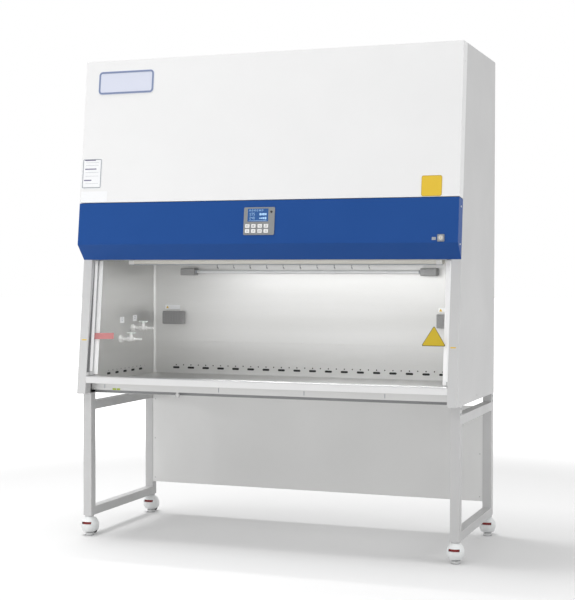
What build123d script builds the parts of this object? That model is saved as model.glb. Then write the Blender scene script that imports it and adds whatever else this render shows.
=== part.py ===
# Class II biosafety cabinet, 1.8 m wide, on a tube stand with levelling castors.
# Millimetres, +Z up, front towards -Y. Everything is built with X = 0 on the cabinet's
# centre line, Y = 0 at the foot of the side posts' front face and Z = 0 on the floor,
# then shifted along Y so that the origin is under the centre of the whole object.
import math
import os

from build123d import *

os.makedirs("parts", exist_ok=True)

# ---------------------------------------------------------------- driving dimensions
half_width = 925.0            # outer face of a side panel from the centre line
z_top = 2285.0                # top of the cabinet
z_base = 691.0                # underside of the side panels, where the stand begins
y_back = 779.0                # outer face of the rear panel
lean_deg = 6.413              # the front face leans back by this angle
sheet = 1.5                   # painted and stainless sheet thickness
running = 0.3                 # gap round pieces that move in a guide
shaft_fit = 0.05              # radial clearance of a shaft in its bore

post_width = 44.0             # front face of each side post
post_depth = 52.0             # return of the post towards the chamber
panel_flange = 40.0           # folded edges of the side panels

cover_depth = 71.5            # front covers stand this far proud of the posts
z_seam = 1603.0               # joint between white cover and blue panel, on the cover's face
seam_gap = 3.0
z_bevel_top = 1403.0          # where the blue panel turns back towards the posts
z_panel_bottom = 1331.0       # lower edge of the blue panel

z_work = 750.0                # work surface
chamber_half = 850.0          # inside of a chamber side wall
y_chamber_back = 680.0        # inside of the chamber rear wall
liner_corner = 15.0           # coved corner of the liner
tray_skirt = 5.5              # folded edge of the work tray
tray_gap = 1.0                # tray to chamber wall

slot_length = 38.0            # return-air slots in the chamber walls
slot_height = 11.0
slot_rise = 28.0              # slots above the work surface
rear_slot_count = 18
rear_slot_pitch = 83.4
rear_slot_shift = -12.0       # the row sits off the centre line
side_slot_count = 5
side_slot_pitch = 86.3
side_slot_first = 182.0       # first side slot from the datum
pinhole_radius = 3.5
pinhole_rise = 14.0           # pin holes above the slots

pan_half = 880.0              # drain pan, between the side panels' posts
pan_front = 61.0
pan_sump_front = 100.0
pan_floor = 691.0
pan_shelf = 708.0
pan_flange = 52.0             # inward edge that carries the liner and the tray

sill_height = 34.0            # rounded front sill above the pan's rim
sill_front = 8.0
sill_depth = 44.0
sill_round = 8.0
grille_end = 140.0            # rear edge of the front grille

drain_x = -432.0              # drain plug under the pan's shelf
drain_y = 78.0
drain_radius = 10.5
drain_neck_radius = 7.5
drain_neck = 8.0
drain_drop = 24.0
drain_round = 4.0
bearer_feet = (-590.0, -200.0, 200.0, 590.0)   # feet under the bearer that carries the tray

inlet_x = 760.0               # power inlet in the rear panel
inlet_z = 2140.0
inlet_width = 48.0
inlet_height = 60.0
inlet_flange = 6.0
inlet_body = 34.0

exhaust_y = 455.0             # middle of the exhaust, in the top
exhaust_slot_count = 22
exhaust_slot_pitch = 40.0

face_depth = 12.0             # filter frames
frame_edge = 20.0
pleat_count = 41
plenum_setback = 62.0
grille_slot_length = 58.0
grille_slot_width = 6.0
grille_slot_pitch = 26.0
grille_slot_count = 62
grille_slot_start = 72.0

glass_thickness = 6.0
glass_half = 874.5
glass_setback = 36.0          # front of the glass behind the posts' face
glass_height = 640.0
z_sash_edge = 950.0           # lower edge of the glass at the working height
sash_up = 290.0               # travel above the working height, along the lean
guide_lip = 15.0
guide_lip_thickness = 4.5
z_guide_top = 2050.0

belt_inner = 846.0            # inner edge of a sash belt
belt_width = 16.0
belt_thickness = 2.0
belt_setback = 52.0           # front run of the belt behind the posts' face
pulley_radius = 20.0
u_belt_idler = 690.0          # distances along the lean from the foot of the posts
u_belt_drive = 1400.0
drive_shaft_radius = 10.0
drive_shaft_half = 905.0
clamp_width = 24.0
clamp_grip = 32.0
clamp_jaw = 3.4

duct_lid = 3.0                # deck that carries the supply filter
filter_height = 90.0
supply_half = 840.0
supply_depth = 520.0
exhaust_half = 480.0
exhaust_depth = 400.0
plenum_half = 800.0
plenum_sheet = 2.0
z_plenum_top = 2050.0
diffuser_hole = 7.0
diffuser_pitch = 60.0

fan_height = 1740.0           # axis of the blower
impeller_radius = 160.0
impeller_width = 110.0
impeller_hub = 70.0
blade_count = 36
scroll_clearance = 22.0
scroll_growth = 80.0
scroll_depth = 160.0
scroll_neck = 242.0            # outlet below the blower's axis
impeller_gap = 20.0           # wheel to the housing's front plate
inlet_ring_radius = 126.0
inlet_lap = 5.0               # inlet ring reaches this far into the wheel
fan_shaft_radius = 10.0

bezel_width = 150.0           # display and keypad frame
bezel_height = 127.0
bezel_plate = 3.5
bezel_lip = 3.0
bezel_front = 1.0             # inner face of the bezel's front plate, proud of the panel
bezel_body = 12.0
bezel_wall = 2.0
screen_width = 102.0
screen_height = 61.0
screen_left = 18.0
screen_drop = 5.5
screen_thickness = 1.5
key_width = 21.0
key_height = 17.0
key_proud = 1.6
key_travel = 1.0
key_columns = [19.6, 49.4, 80.2, 110.6]
key_rows = [86.0, 109.0]
bezel_centre_x = 2.5
z_bezel = 1505.0
sensor_radius = 5.5
sensor_left = 133.5
sensor_drop = 21.5

lock_x = 849.0                # key switch on the blue panel
z_lock = 1423.0
lock_plate = 32.0
lock_barrel_radius = 9.5
lock_depth = 18.0

lamp_radius = 8.0             # ultraviolet tube
lamp_half = 596.0
lamp_y = 647.0
z_lamp = 1275.0
holder_length = 79.0
holder_height = 38.0
lamp_pin = 6.0

bar_half = 790.0              # ceiling light
bar_front = 280.0
bar_depth = 50.0
bar_drop = 20.0

rail_y = 453.0                # hanging rail with its hooks
rail_half = 415.0
rail_radius = 4.0
hook_count = 10
hook_pitch = 87.0
hook_wire = 1.4
hook_drop = 24.0

socket_x = 728.0              # covered power sockets on the rear wall
socket_width = 115.0
socket_height = 68.0
z_socket = 1004.0
socket_depth = 26.0
lid_thickness = 8.0
lid_margin = 2.0
lid_pin_radius = 1.5
lid_barrel_radius = 3.5
lid_rib_count = 7

tap_places = [(305.0, 940.0), (436.0, 990.0)]   # Y and Z of the two service taps
tap_reach = 60.0              # valve axis from the wall
tap_body_radius = 13.0
tap_pipe_radius = 8.0
tap_flange_radius = 20.0
tap_nozzle_radius = 5.0
tap_nozzle_length = 44.0
tap_bonnet_height = 24.0
tap_spindle_radius = 4.0
lever_length = 46.0

tube = 42.0                   # square tube of the stand
tube_wall = 2.0
leg_front = 62.0              # front face of the front legs
leg_back = 775.0
z_leg = 98.0                  # underside of the legs, on the castors
rail_height = 40.0
z_upper_rail = 610.0
stand_panel_bottom = 168.0
stand_panel_top = 626.0
stand_panel_y = 735.0
stand_panel_flange = 25.0

castor_wall = 3.0             # levelling castor
z_castor_skirt = 20.0
z_castor_top = 92.0
dome_skirt = 29.0             # radii of the round shell at its skirt, its waist and its top
dome_waist = 40.0
dome_top = 18.0
z_dome_waist = 57.0
hump_skirt = 24.0             # the same for the hump over the wheel
hump_waist = 28.0
hump_top = 12.0
z_hump_waist = 48.0
z_hump_top = 80.0
hump_offset = 38.0
wheel_radius = 20.0
wheel_width = 20.0
wheel_trail = 44.0
wheel_clear = 3.0             # wheels hang this far off the floor while the pads stand
axle_radius = 4.0
pad_radius = 21.0
pad_rubber = 4.0
pad_height = 15.0
screw_radius = 6.0
screw_top = 70.0
thumb_radius = 33.0
thumb_height = 11.0
z_thumb = 57.5
thumb_window = 50.0
thumb_teeth = 24
window_depth = 21.0           # the thumbwheel's window is open this far from the axis
web_reach = 12.0              # webs that guide the screw, back from its axis
web_thickness = 6.0
fork_cheek = 5.0
fork_reach = 8.0              # half depth of the cheeks that carry the axle
axle_boss_radius = 7.0
king_pin_radius = 6.0
king_pin_head = 10.0
king_pin_head_height = 4.0
race_radius = 21.0

# ---------------------------------------------------------------- derived places
lean = math.radians(lean_deg)
lean_sin, lean_cos = math.sin(lean), math.cos(lean)
post_inner = half_width - post_width
inner_half = half_width - sheet
leg_inner = half_width - 1.0 - tube
leg_centre = half_width - 1.0 - tube / 2
front_plane = Plane(origin=(0, 0, z_base), x_dir=(1, 0, 0), z_dir=(0, -lean_cos, lean_sin))


def along(z, proud=0.0):
    """Distance up the lean of the point at height z on the plane `proud` of the posts."""
    return (z - z_base - proud * lean_sin) / lean_cos


def at(u, proud=0.0):
    """Y and Z of the point u up the lean and `proud` of the posts."""
    return (u * lean_sin - proud * lean_cos, z_base + u * lean_cos + proud * lean_sin)


def front_y(z, setback=0.0):
    """Y of the front plane, or of a plane `setback` behind it, at height z."""
    return at(along(z, -setback), -setback)[0]


def block(x0, x1, y0, y1, z0, z1):
    """A box from its corners."""
    return Pos((x0 + x1) / 2, (y0 + y1) / 2, (z0 + z1) / 2) * Box(x1 - x0, y1 - y0, z1 - z0)


def lean_block(x0, x1, u0, u1, w0, w1):
    """A box from its corners in the leaning front plane: across, up the lean, proud."""
    return front_plane.location * block(x0, x1, u0, u1, w0, w1)


def on_front(x, u, proud):
    """A location on the leaning front, its Z pointing out of the cabinet."""
    return front_plane.location * Pos(x, u, proud)


def prism(points, x0, x1):
    """A profile in Y and Z run across from x0 to x1."""
    outline = Polyline(*[(0, y, z) for y, z in points], close=True)
    return Pos(x0, 0, 0) * extrude(make_face(outline), amount=x1 - x0, dir=(1, 0, 0))


def both_sides(piece):
    """The piece and its mirror image across the centre line."""
    return [piece, mirror(piece, about=Plane.YZ)]


def cylinder_x(radius, x0, x1, y, z):
    return Pos((x0 + x1) / 2, y, z) * Rot(0, 90, 0) * Cylinder(radius, x1 - x0)


def cylinder_y(radius, y0, y1, x, z):
    return Pos(x, (y0 + y1) / 2, z) * Rot(90, 0, 0) * Cylinder(radius, y1 - y0)


def cylinder_z(radius, z0, z1, x, y):
    return Pos(x, y, (z0 + z1) / 2) * Cylinder(radius, z1 - z0)


def rounded(width, height, depth, radius):
    """A plate with rounded corners, from Z = 0 to Z = depth."""
    return extrude(RectangleRounded(width, height, radius), amount=depth)


parts = {}

# ---------------------------------------------------------------- outer casing
u_top = along(z_top) + 20.0
side_outline = [(0, z_base), (y_back, z_base), (y_back, z_top), (front_y(z_top), z_top)]
z_under_top = z_top - sheet
folded_outline = [(0, z_base), (y_back - sheet, z_base), (y_back - sheet, z_under_top),
                  (front_y(z_under_top), z_under_top)]


def side_panel():
    """Right side: leaning outline, front post folded back to the chamber, three flanges."""
    outer = prism(side_outline, inner_half, half_width)
    face = lean_block(post_inner, half_width, -20, u_top, -sheet, 0)
    fold = lean_block(post_inner, post_inner + sheet, -20, u_top, -post_depth, 0)
    foot = block(post_inner, half_width, 0, y_back, z_base, z_base + sheet)
    crown = block(half_width - panel_flange, half_width, 0, y_back, z_top - 2 * sheet, z_top - sheet)
    rear = block(half_width - panel_flange, half_width, y_back - 2 * sheet, y_back - sheet, z_base, z_top)
    return outer + ((face + fold + foot + crown + rear) & prism(folded_outline, post_inner, half_width))


parts["side_panels"] = both_sides(side_panel())

rear_panel = block(-inner_half, inner_half, y_back - sheet, y_back, z_base, z_top - sheet)
rear_panel -= block(inlet_x - inlet_width / 2, inlet_x + inlet_width / 2, y_back - 5, y_back + 5,
                    inlet_z - inlet_height / 2, inlet_z + inlet_height / 2)
parts["rear_panel"] = rear_panel

inlet = block(inlet_x - inlet_width / 2 + running, inlet_x + inlet_width / 2 - running,
              y_back - inlet_body, y_back, inlet_z - inlet_height / 2 + running,
              inlet_z + inlet_height / 2 - running)
inlet += block(inlet_x - inlet_width / 2 - inlet_flange, inlet_x + inlet_width / 2 + inlet_flange,
               y_back, y_back + 2.0, inlet_z - inlet_height / 2 - inlet_flange,
               inlet_z + inlet_height / 2 + inlet_flange)
inlet -= Pos(inlet_x, y_back + 2, inlet_z + 12) * Rot(90, 0, 0) * rounded(24, 16, 20, 3)
for pin_x in (-7, 0, 7):
    inlet += block(inlet_x + pin_x - 1, inlet_x + pin_x + 1, y_back - 18.5, y_back - 4, inlet_z + 10, inlet_z + 14)
parts["power_inlet"] = inlet

# top panel with its exhaust slots and the duct down to the exhaust filter
z_exhaust_filter_top = z_plenum_top + filter_height
top_panel = block(-inner_half, inner_half, front_y(z_top), y_back - sheet, z_top - sheet, z_top)
for i in range(exhaust_slot_count):
    x = (i - (exhaust_slot_count - 1) / 2) * exhaust_slot_pitch
    for y in (-95, 95):
        top_panel -= Pos(x, exhaust_y + y, z_top - 2) * rounded(12, 160, 4, 5.9)
duct_outer = block(-exhaust_half, exhaust_half, exhaust_y - exhaust_depth / 2, exhaust_y + exhaust_depth / 2,
                   z_exhaust_filter_top, z_top - sheet)
duct_inner = block(-exhaust_half + sheet, exhaust_half - sheet, exhaust_y - exhaust_depth / 2 + sheet,
                   exhaust_y + exhaust_depth / 2 - sheet, z_exhaust_filter_top - 1, z_top - sheet)
top_panel += duct_outer - duct_inner
parts["top_panel"] = top_panel

# white upper cover: a pan folded round all four edges, open at the back
u_seam = along(z_seam, cover_depth)
cover_outline = [at(u_seam, cover_depth), at(along(z_top, cover_depth), cover_depth),
                 (front_y(z_top), z_top), at(u_seam, 0)]
cover_hollow = [at(u_seam + sheet, cover_depth - sheet), at(along(z_top - sheet, cover_depth - sheet), cover_depth - sheet),
                (front_y(z_top) + 5, z_top - sheet), at(u_seam + sheet, -5)]
parts["upper_front_cover"] = (prism(cover_outline, -half_width, half_width)
                              - prism(cover_hollow, -inner_half, inner_half))

# blue panel: flat face, then a bevel back to the posts
u_panel_top = u_seam - seam_gap
u_bevel = along(z_bevel_top, cover_depth)
u_panel_bottom = along(z_panel_bottom)
panel_outline = [at(u_panel_top, cover_depth), at(u_bevel, cover_depth), at(u_panel_bottom, 0), at(u_panel_top, 0)]
bevel = math.atan2(cover_depth, u_bevel - u_panel_bottom)
bevel_shift = sheet / math.sin(bevel)
face_shift = sheet * math.tan(bevel / 2)
panel_hollow = [at(u_panel_top - sheet, cover_depth - sheet), at(u_bevel + face_shift, cover_depth - sheet),
                at(u_panel_bottom + bevel_shift, 0), at(u_panel_bottom + bevel_shift, -5),
                at(u_panel_top - sheet, -5)]
blue_panel = prism(panel_outline, -half_width, half_width) - prism(panel_hollow, -inner_half, inner_half)

# ---------------------------------------------------------------- display, keypad and key switch
u_bezel = along(z_bezel, cover_depth)
u_lock = along(z_lock, cover_depth)


def on_bezel(from_left, from_top, proud):
    """A location on the bezel, measured from its top left corner."""
    return on_front(bezel_centre_x - bezel_width / 2 + from_left, u_bezel + bezel_height / 2 - from_top,
                    cover_depth + proud)


cut_width = bezel_width - 2 * bezel_lip
cut_height = bezel_height - 2 * bezel_lip
blue_panel -= on_front(bezel_centre_x, u_bezel, cover_depth - 5) * rounded(cut_width + 2 * running,
                                                                           cut_height + 2 * running, 10, 2)
lock_sleeve_radius = lock_barrel_radius + 2.5
blue_panel -= on_front(lock_x, u_lock, cover_depth) * Cylinder(lock_sleeve_radius + running, 10)
parts["blue_front_panel"] = blue_panel

bezel = on_front(bezel_centre_x, u_bezel, cover_depth) * rounded(bezel_width, bezel_height, bezel_plate, 6)
bezel += on_front(bezel_centre_x, u_bezel, cover_depth - bezel_body) * rounded(cut_width, cut_height, bezel_body, 2)
bezel -= on_front(bezel_centre_x, u_bezel, cover_depth - bezel_body + bezel_wall) * rounded(
    cut_width - 2 * bezel_wall, cut_height - 2 * bezel_wall, bezel_body - bezel_wall + bezel_front, 1)
screen_centre = (screen_left + screen_width / 2, screen_drop + screen_height / 2)
bezel -= on_bezel(*screen_centre, bezel_plate - screen_thickness) * rounded(
    screen_width + 2 * running, screen_height + 2 * running, 5, 2)
bezel -= on_bezel(sensor_left, sensor_drop, bezel_plate) * Cylinder(sensor_radius, 2)
for row in key_rows:
    for column in key_columns:
        bezel -= on_bezel(column, row, -1) * rounded(key_width + 2 * running, key_height + 2 * running, 8, 3)

lock_escutcheon = on_front(lock_x, u_lock, cover_depth) * rounded(lock_plate, lock_plate, 3.0, 4)
lock_sleeve = on_front(lock_x, u_lock, cover_depth - lock_depth / 2) * Cylinder(lock_sleeve_radius, lock_depth)
lock_bore = on_front(lock_x, u_lock, cover_depth) * Cylinder(lock_barrel_radius + shaft_fit, 60)
parts["control_bezels"] = [bezel, lock_escutcheon + lock_sleeve - lock_bore]

parts["display_screen"] = on_bezel(*screen_centre, bezel_plate - screen_thickness) * rounded(
    screen_width, screen_height, screen_thickness, 2)

for row_number, row in enumerate(key_rows):
    for column_number, column in enumerate(key_columns):
        name = f"key_{row_number * len(key_columns) + column_number + 1}"
        cap = on_bezel(column, row, bezel_front - running) * rounded(
            key_width, key_height, bezel_plate + key_proud - bezel_front + running, 2.5)
        skirt = on_bezel(column, row, bezel_front - running - 1.0) * rounded(key_width + 3, key_height + 3, 1.0, 2)
        stem_length = bezel_body - bezel_wall + bezel_front - running - 1.0 - key_travel - running
        stem = on_bezel(column, row, bezel_front - running - 1.0 - stem_length / 2) * Cylinder(3.5, stem_length)
        parts[name] = cap + skirt + stem

barrel = on_front(lock_x, u_lock, cover_depth - lock_depth / 2 + 2.5) * Cylinder(lock_barrel_radius, lock_depth + 5)
barrel -= on_front(lock_x, u_lock, cover_depth + 4) * Box(2.4, 9, 8)
parts["key_switch"] = barrel

# ---------------------------------------------------------------- chamber
liner_bottom = z_work - sheet - tray_skirt


def slot(x, y, z, length, across):
    """A rounded slot cut through a wall, running along X or along Y."""
    turn = Rot(90, 0, 0) if across == "x" else Rot(0, 0, 90) * Rot(90, 0, 0)
    return Pos(x, y, z) * turn * extrude(SlotOverall(length, slot_height), amount=6, both=True)


def chamber_liner():
    """Side walls, coved corners and rear wall in one folded sheet, with outward front flanges."""
    outer = block(-chamber_half - sheet, chamber_half + sheet, 0, y_chamber_back + sheet,
                  liner_bottom, z_panel_bottom)
    outer = fillet(outer.edges().filter_by(Axis.Z).group_by(Axis.Y)[-1], liner_corner + sheet)
    inner = block(-chamber_half, chamber_half, -10, y_chamber_back, liner_bottom - 1, z_panel_bottom + 1)
    inner = fillet(inner.edges().filter_by(Axis.Z).group_by(Axis.Y)[-1], liner_corner)
    walls = outer - inner
    behind = [at(-20, -post_depth), (y_back, z_base - 20), (y_back, z_top), at(u_top, -post_depth)]
    walls &= prism(behind, -half_width, half_width)
    flange = lean_block(chamber_half, post_inner, -20, u_top, -post_depth - sheet, -post_depth)
    flange &= block(0, half_width, 0, y_back, liner_bottom, z_panel_bottom)
    walls += both_sides(flange)
    z_slot = z_work + slot_rise
    for i in range(rear_slot_count):
        x = (i - (rear_slot_count - 1) / 2) * rear_slot_pitch + rear_slot_shift
        walls -= slot(x, y_chamber_back, z_slot, slot_length, "x")
        for shift in (0, rear_slot_pitch / 2):
            walls -= cylinder_y(pinhole_radius, y_chamber_back - 5, y_chamber_back + 5, x + shift,
                                z_slot + pinhole_rise)
    for i in range(side_slot_count):
        y = side_slot_first + i * side_slot_pitch
        for side in (-1, 1):
            walls -= slot(side * chamber_half, y, z_slot, slot_length, "y")
            for shift in (0, side_slot_pitch / 2):
                walls -= cylinder_x(pinhole_radius, side * chamber_half - 5, side * chamber_half + 5,
                                    y + shift, z_slot + pinhole_rise)
    return walls


parts["chamber_liner"] = chamber_liner()

tray_half = chamber_half - tray_gap
tray = block(-tray_half, tray_half, grille_end + tray_gap, y_chamber_back - tray_gap,
             z_work - sheet - tray_skirt, z_work)
tray = fillet(tray.edges().filter_by(Axis.Z).group_by(Axis.Y)[-1], liner_corner)
tray_inner = block(-tray_half + sheet, tray_half - sheet, grille_end + tray_gap + sheet,
                   y_chamber_back - tray_gap - sheet, z_work - sheet - tray_skirt - 1, z_work - sheet)
tray_inner = fillet(tray_inner.edges().filter_by(Axis.Z).group_by(Axis.Y)[-1], liner_corner - sheet)
parts["work_tray"] = tray - tray_inner

# rounded sill and slotted intake in one folded sheet
z_rim = liner_bottom
z_sill = z_rim + sill_height
sill_back = sill_front + sill_depth
grille_z = z_work


def front_grille():
    """Closed sill nose, slope and slotted intake, seated on the pan's front wall."""
    nose = [(sill_front, z_rim), (pan_front + sheet, z_rim), (pan_front + sheet, z_rim + sheet),
            (pan_front + 6, grille_z - sheet), (pan_front + 6, grille_z), (sill_back, z_sill), (sill_front, z_sill)]
    bar = prism(nose, -post_inner, post_inner)
    bar = fillet(bar.edges().filter_by(Axis.X).filter_by(
        lambda e: e.center().Y < sill_front + 1 and e.center().Z > z_sill - 1), sill_round)
    hollow = [(sill_front + sheet, z_rim + sheet), (pan_front - sheet, z_rim + sheet), (pan_front + 2, grille_z - 2 * sheet),
              (sill_back - sheet, z_sill - sheet), (sill_front + sheet, z_sill - sheet)]
    core = prism(hollow, -post_inner - 1, post_inner + 1)
    core = fillet(core.edges().filter_by(Axis.X).filter_by(
        lambda e: e.center().Y < sill_front + sheet + 1 and e.center().Z > z_sill - sheet - 1), sill_round - sheet)
    bar -= core
    plate = block(-tray_half, tray_half, pan_front + 4, grille_end, grille_z - sheet, grille_z)
    edge = block(-tray_half, tray_half, grille_end - sheet, grille_end, grille_z - sheet - tray_skirt, grille_z)
    for i in range(grille_slot_count):
        x = (i - (grille_slot_count - 1) / 2) * grille_slot_pitch
        plate -= block(x - grille_slot_width / 2, x + grille_slot_width / 2, grille_slot_start,
                       grille_slot_start + grille_slot_length, grille_z - 5, grille_z + 5)
    trim = block(tray_half, half_width, front_y(z_rim, post_depth) - 1, grille_end, z_rim - 5, z_sill + 5)
    bar -= both_sides(trim)
    return bar + plate + edge


parts["front_grille"] = front_grille()

pan_rear = y_back - 2 * sheet - running


def drain_pan():
    """Stepped pan under the whole work area, open on top, with edges that carry the liner."""
    profile = [(pan_front, z_rim), (pan_front, pan_shelf), (pan_sump_front, pan_shelf),
               (pan_sump_front, pan_floor), (pan_rear, pan_floor), (pan_rear, z_rim)]
    hollow = [(pan_front + sheet, z_rim + 1), (pan_front + sheet, pan_shelf + sheet),
              (pan_sump_front + sheet, pan_shelf + sheet), (pan_sump_front + sheet, pan_floor + sheet),
              (pan_rear - sheet, pan_floor + sheet), (pan_rear - sheet, z_rim + 1)]
    pan = prism(profile, -pan_half, pan_half) - prism(hollow, -pan_half + sheet, pan_half - sheet)
    ledge = block(pan_half - pan_flange, pan_half, pan_front, pan_rear, z_rim - sheet, z_rim)
    pan += both_sides(ledge)
    bearer = block(-pan_half + sheet, pan_half - sheet, grille_end - 8, grille_end + 8, z_rim - 12, z_rim)
    bearer -= block(-pan_half, pan_half, grille_end - 8 + sheet, grille_end + 8 - sheet, z_rim - 13, z_rim - sheet)
    pan += bearer
    for x in bearer_feet:
        pan += block(x - 1, x + 1, grille_end, grille_end + 2, pan_floor, z_rim - sheet)
    spigot = cylinder_z(drain_neck_radius, pan_shelf - drain_drop, pan_shelf + sheet / 2, drain_x, drain_y)
    plug = cylinder_z(drain_radius, pan_shelf - drain_drop, pan_shelf - drain_neck, drain_x, drain_y)
    plug = fillet(plug.edges().sort_by(Axis.Z)[0], drain_round)
    return pan + spigot + plug


parts["drain_pan"] = drain_pan()

# ---------------------------------------------------------------- sash and its drive
u_sash = along(z_sash_edge, -glass_setback)
u_glass_top = u_sash + glass_height
sash_down = u_sash - along(z_sill + 1.0, -glass_setback - glass_thickness)
w_glass = -glass_setback - glass_thickness / 2
glass = front_plane.location * Pos(0, u_sash + glass_height / 2, w_glass) * Box(
    2 * glass_half, glass_height, glass_thickness)
glass = chamfer(glass.edges().filter_by(Axis.X), 1.0)
parts["sash_glass"] = glass


def sash_guide():
    """Edge channel for the glass, fixed to the post's return."""
    u0, u1 = along(z_sill + 2, -glass_setback), along(z_guide_top)
    front = -glass_setback + running
    rear = -glass_setback - glass_thickness - running
    web = lean_block(glass_half + 0.5, post_inner, u0, u1, rear - guide_lip_thickness, front + guide_lip_thickness)
    lips = lean_block(post_inner - guide_lip, post_inner, u0, u1, rear - guide_lip_thickness, front + guide_lip_thickness)
    return web + lips - lean_block(0, glass_half + 0.5, u0 - 1, u1 + 1, rear, front)


parts["sash_guides"] = both_sides(sash_guide())

w_belt_front = -belt_setback
w_shaft = w_belt_front - belt_thickness - pulley_radius
belt_mid = belt_inner + belt_width / 2


def sash_belt():
    """Endless toothed belt round the drive pulley and a fixed idler."""
    outer = SlotCenterToCenter(u_belt_drive - u_belt_idler, 2 * (pulley_radius + belt_thickness))
    inner = SlotCenterToCenter(u_belt_drive - u_belt_idler, 2 * (pulley_radius + running))
    loop = extrude(outer - inner, amount=belt_width / 2, both=True)
    turn = Plane(origin=(belt_mid, (u_belt_drive + u_belt_idler) / 2, w_shaft), x_dir=(0, 1, 0), z_dir=(1, 0, 0))
    return front_plane.location * turn.location * loop


def lean_cylinder(radius, x0, x1, u, w):
    """A cylinder across the cabinet at a place in the leaning plane."""
    return on_front((x0 + x1) / 2, u, w) * Rot(0, 90, 0) * Cylinder(radius, x1 - x0)


def idler():
    """Lower belt pulley with its stub and the plate that holds it to the side panel."""
    wheel = lean_cylinder(pulley_radius, belt_inner, belt_inner + belt_width, u_belt_idler, w_shaft)
    stub = lean_cylinder(5, belt_inner, inner_half, u_belt_idler, w_shaft)
    plate = lean_block(inner_half - 3, inner_half, u_belt_idler - 30, u_belt_idler + 30, w_shaft - 25, w_shaft + 19)
    return wheel + stub + plate


parts["sash_belts"] = both_sides(sash_belt()) + both_sides(idler())


def sash_clamp():
    """Jaws over the top edge of the glass, reaching back to the belt's front run."""
    x0, x1 = belt_mid - clamp_width / 2, belt_mid + clamp_width / 2 - 2
    front = -glass_setback + clamp_jaw
    rear = w_belt_front + running
    body = lean_block(x0, x1, u_glass_top - clamp_grip, u_glass_top + 8, rear, front)
    return body - lean_block(x0 - 1, x1 + 1, u_glass_top - clamp_grip - 1, u_glass_top,
                             -glass_setback - glass_thickness, -glass_setback)


parts["sash_clamps"] = both_sides(sash_clamp())

shaft = lean_cylinder(drive_shaft_radius, -drive_shaft_half, drive_shaft_half, u_belt_drive, w_shaft)
for side in (-1, 1):
    x0, x1 = sorted((side * belt_inner, side * (belt_inner + belt_width)))
    shaft += lean_cylinder(pulley_radius, x0, x1, u_belt_drive, w_shaft)
parts["sash_drive_shaft"] = shaft


def bearing_plate():
    """Bearing block on a plate fixed inside the side panel."""
    seat = lean_block(post_inner + 4, inner_half, u_belt_drive - 22, u_belt_drive + 22, w_shaft - 22, w_shaft + 20)
    return seat - lean_cylinder(drive_shaft_radius + shaft_fit, 0, drive_shaft_half + 2, u_belt_drive, w_shaft)


gearbox = lean_block(plenum_half + 4, belt_inner - 4, u_belt_drive - 32, u_belt_drive + 32, w_shaft - 30, w_shaft + 24)
gearbox += on_front((plenum_half + belt_inner) / 2, u_belt_drive - 32 - 70, w_shaft) * Rot(90, 0, 0) * Cylinder(18, 140)
gearbox += lean_block(plenum_half + 4, inner_half, u_belt_drive - 20, u_belt_drive + 20, w_shaft - 34, w_shaft - 26)
gearbox -= lean_cylinder(drive_shaft_radius + shaft_fit, 0, drive_shaft_half + 2, u_belt_drive, w_shaft)
parts["sash_gearmotor"] = [gearbox + bearing_plate(), mirror(bearing_plate(), about=Plane.YZ)]

# ---------------------------------------------------------------- air path above the chamber
y_filter_back = y_chamber_back - 10
y_filter_front = y_filter_back - supply_depth
z_filter = z_panel_bottom + duct_lid


def pleated_filter(box_half, y0, y1, z0, z1):
    """Aluminium frame with the pleat pack set back from both faces."""
    frame = block(-box_half, box_half, y0, y1, z0, z1)
    for lo, hi in ((z0 - 1, z0 + face_depth), (z1 - face_depth, z1 + 1)):
        frame -= block(-box_half + frame_edge, box_half - frame_edge, y0 + frame_edge, y1 - frame_edge, lo, hi)
    pitch = 2 * (box_half - frame_edge) / pleat_count
    for i in range(1, pleat_count):
        x = -box_half + frame_edge + i * pitch
        frame -= block(x - 1.5, x + 1.5, y0 + frame_edge, y1 - frame_edge, z0 + face_depth, z0 + face_depth + 10)
    return frame


parts["ulpa_filters"] = [
    pleated_filter(supply_half, y_filter_front, y_filter_back, z_filter, z_filter + filter_height),
    pleated_filter(exhaust_half, exhaust_y - exhaust_depth / 2, exhaust_y + exhaust_depth / 2,
                   z_plenum_top, z_exhaust_filter_top)]

diffuser_front = front_y(z_panel_bottom, post_depth) + sheet + 1
diffuser = block(-chamber_half + tray_gap, chamber_half - tray_gap, diffuser_front, y_chamber_back - tray_gap,
                 z_panel_bottom - sheet, z_panel_bottom)
diffuser = fillet(diffuser.edges().filter_by(Axis.Z).group_by(Axis.Y)[-1], liner_corner)
diffuser_columns = int(2 * (supply_half - 30) / diffuser_pitch)
diffuser_rows = int((supply_depth - 60) / diffuser_pitch)
for i in range(diffuser_columns):
    x = (i - (diffuser_columns - 1) / 2) * diffuser_pitch
    for j in range(diffuser_rows):
        y = (y_filter_front + y_filter_back) / 2 + (j - (diffuser_rows - 1) / 2) * diffuser_pitch
        diffuser -= block(x - diffuser_hole, x + diffuser_hole, y - diffuser_hole, y + diffuser_hole,
                          z_panel_bottom - 5, z_panel_bottom + 5)
parts["air_diffuser"] = diffuser

z_filter_top = z_filter + filter_height
y_plenum_back = y_chamber_back - 15
inlet_hole = impeller_radius - 20


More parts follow.
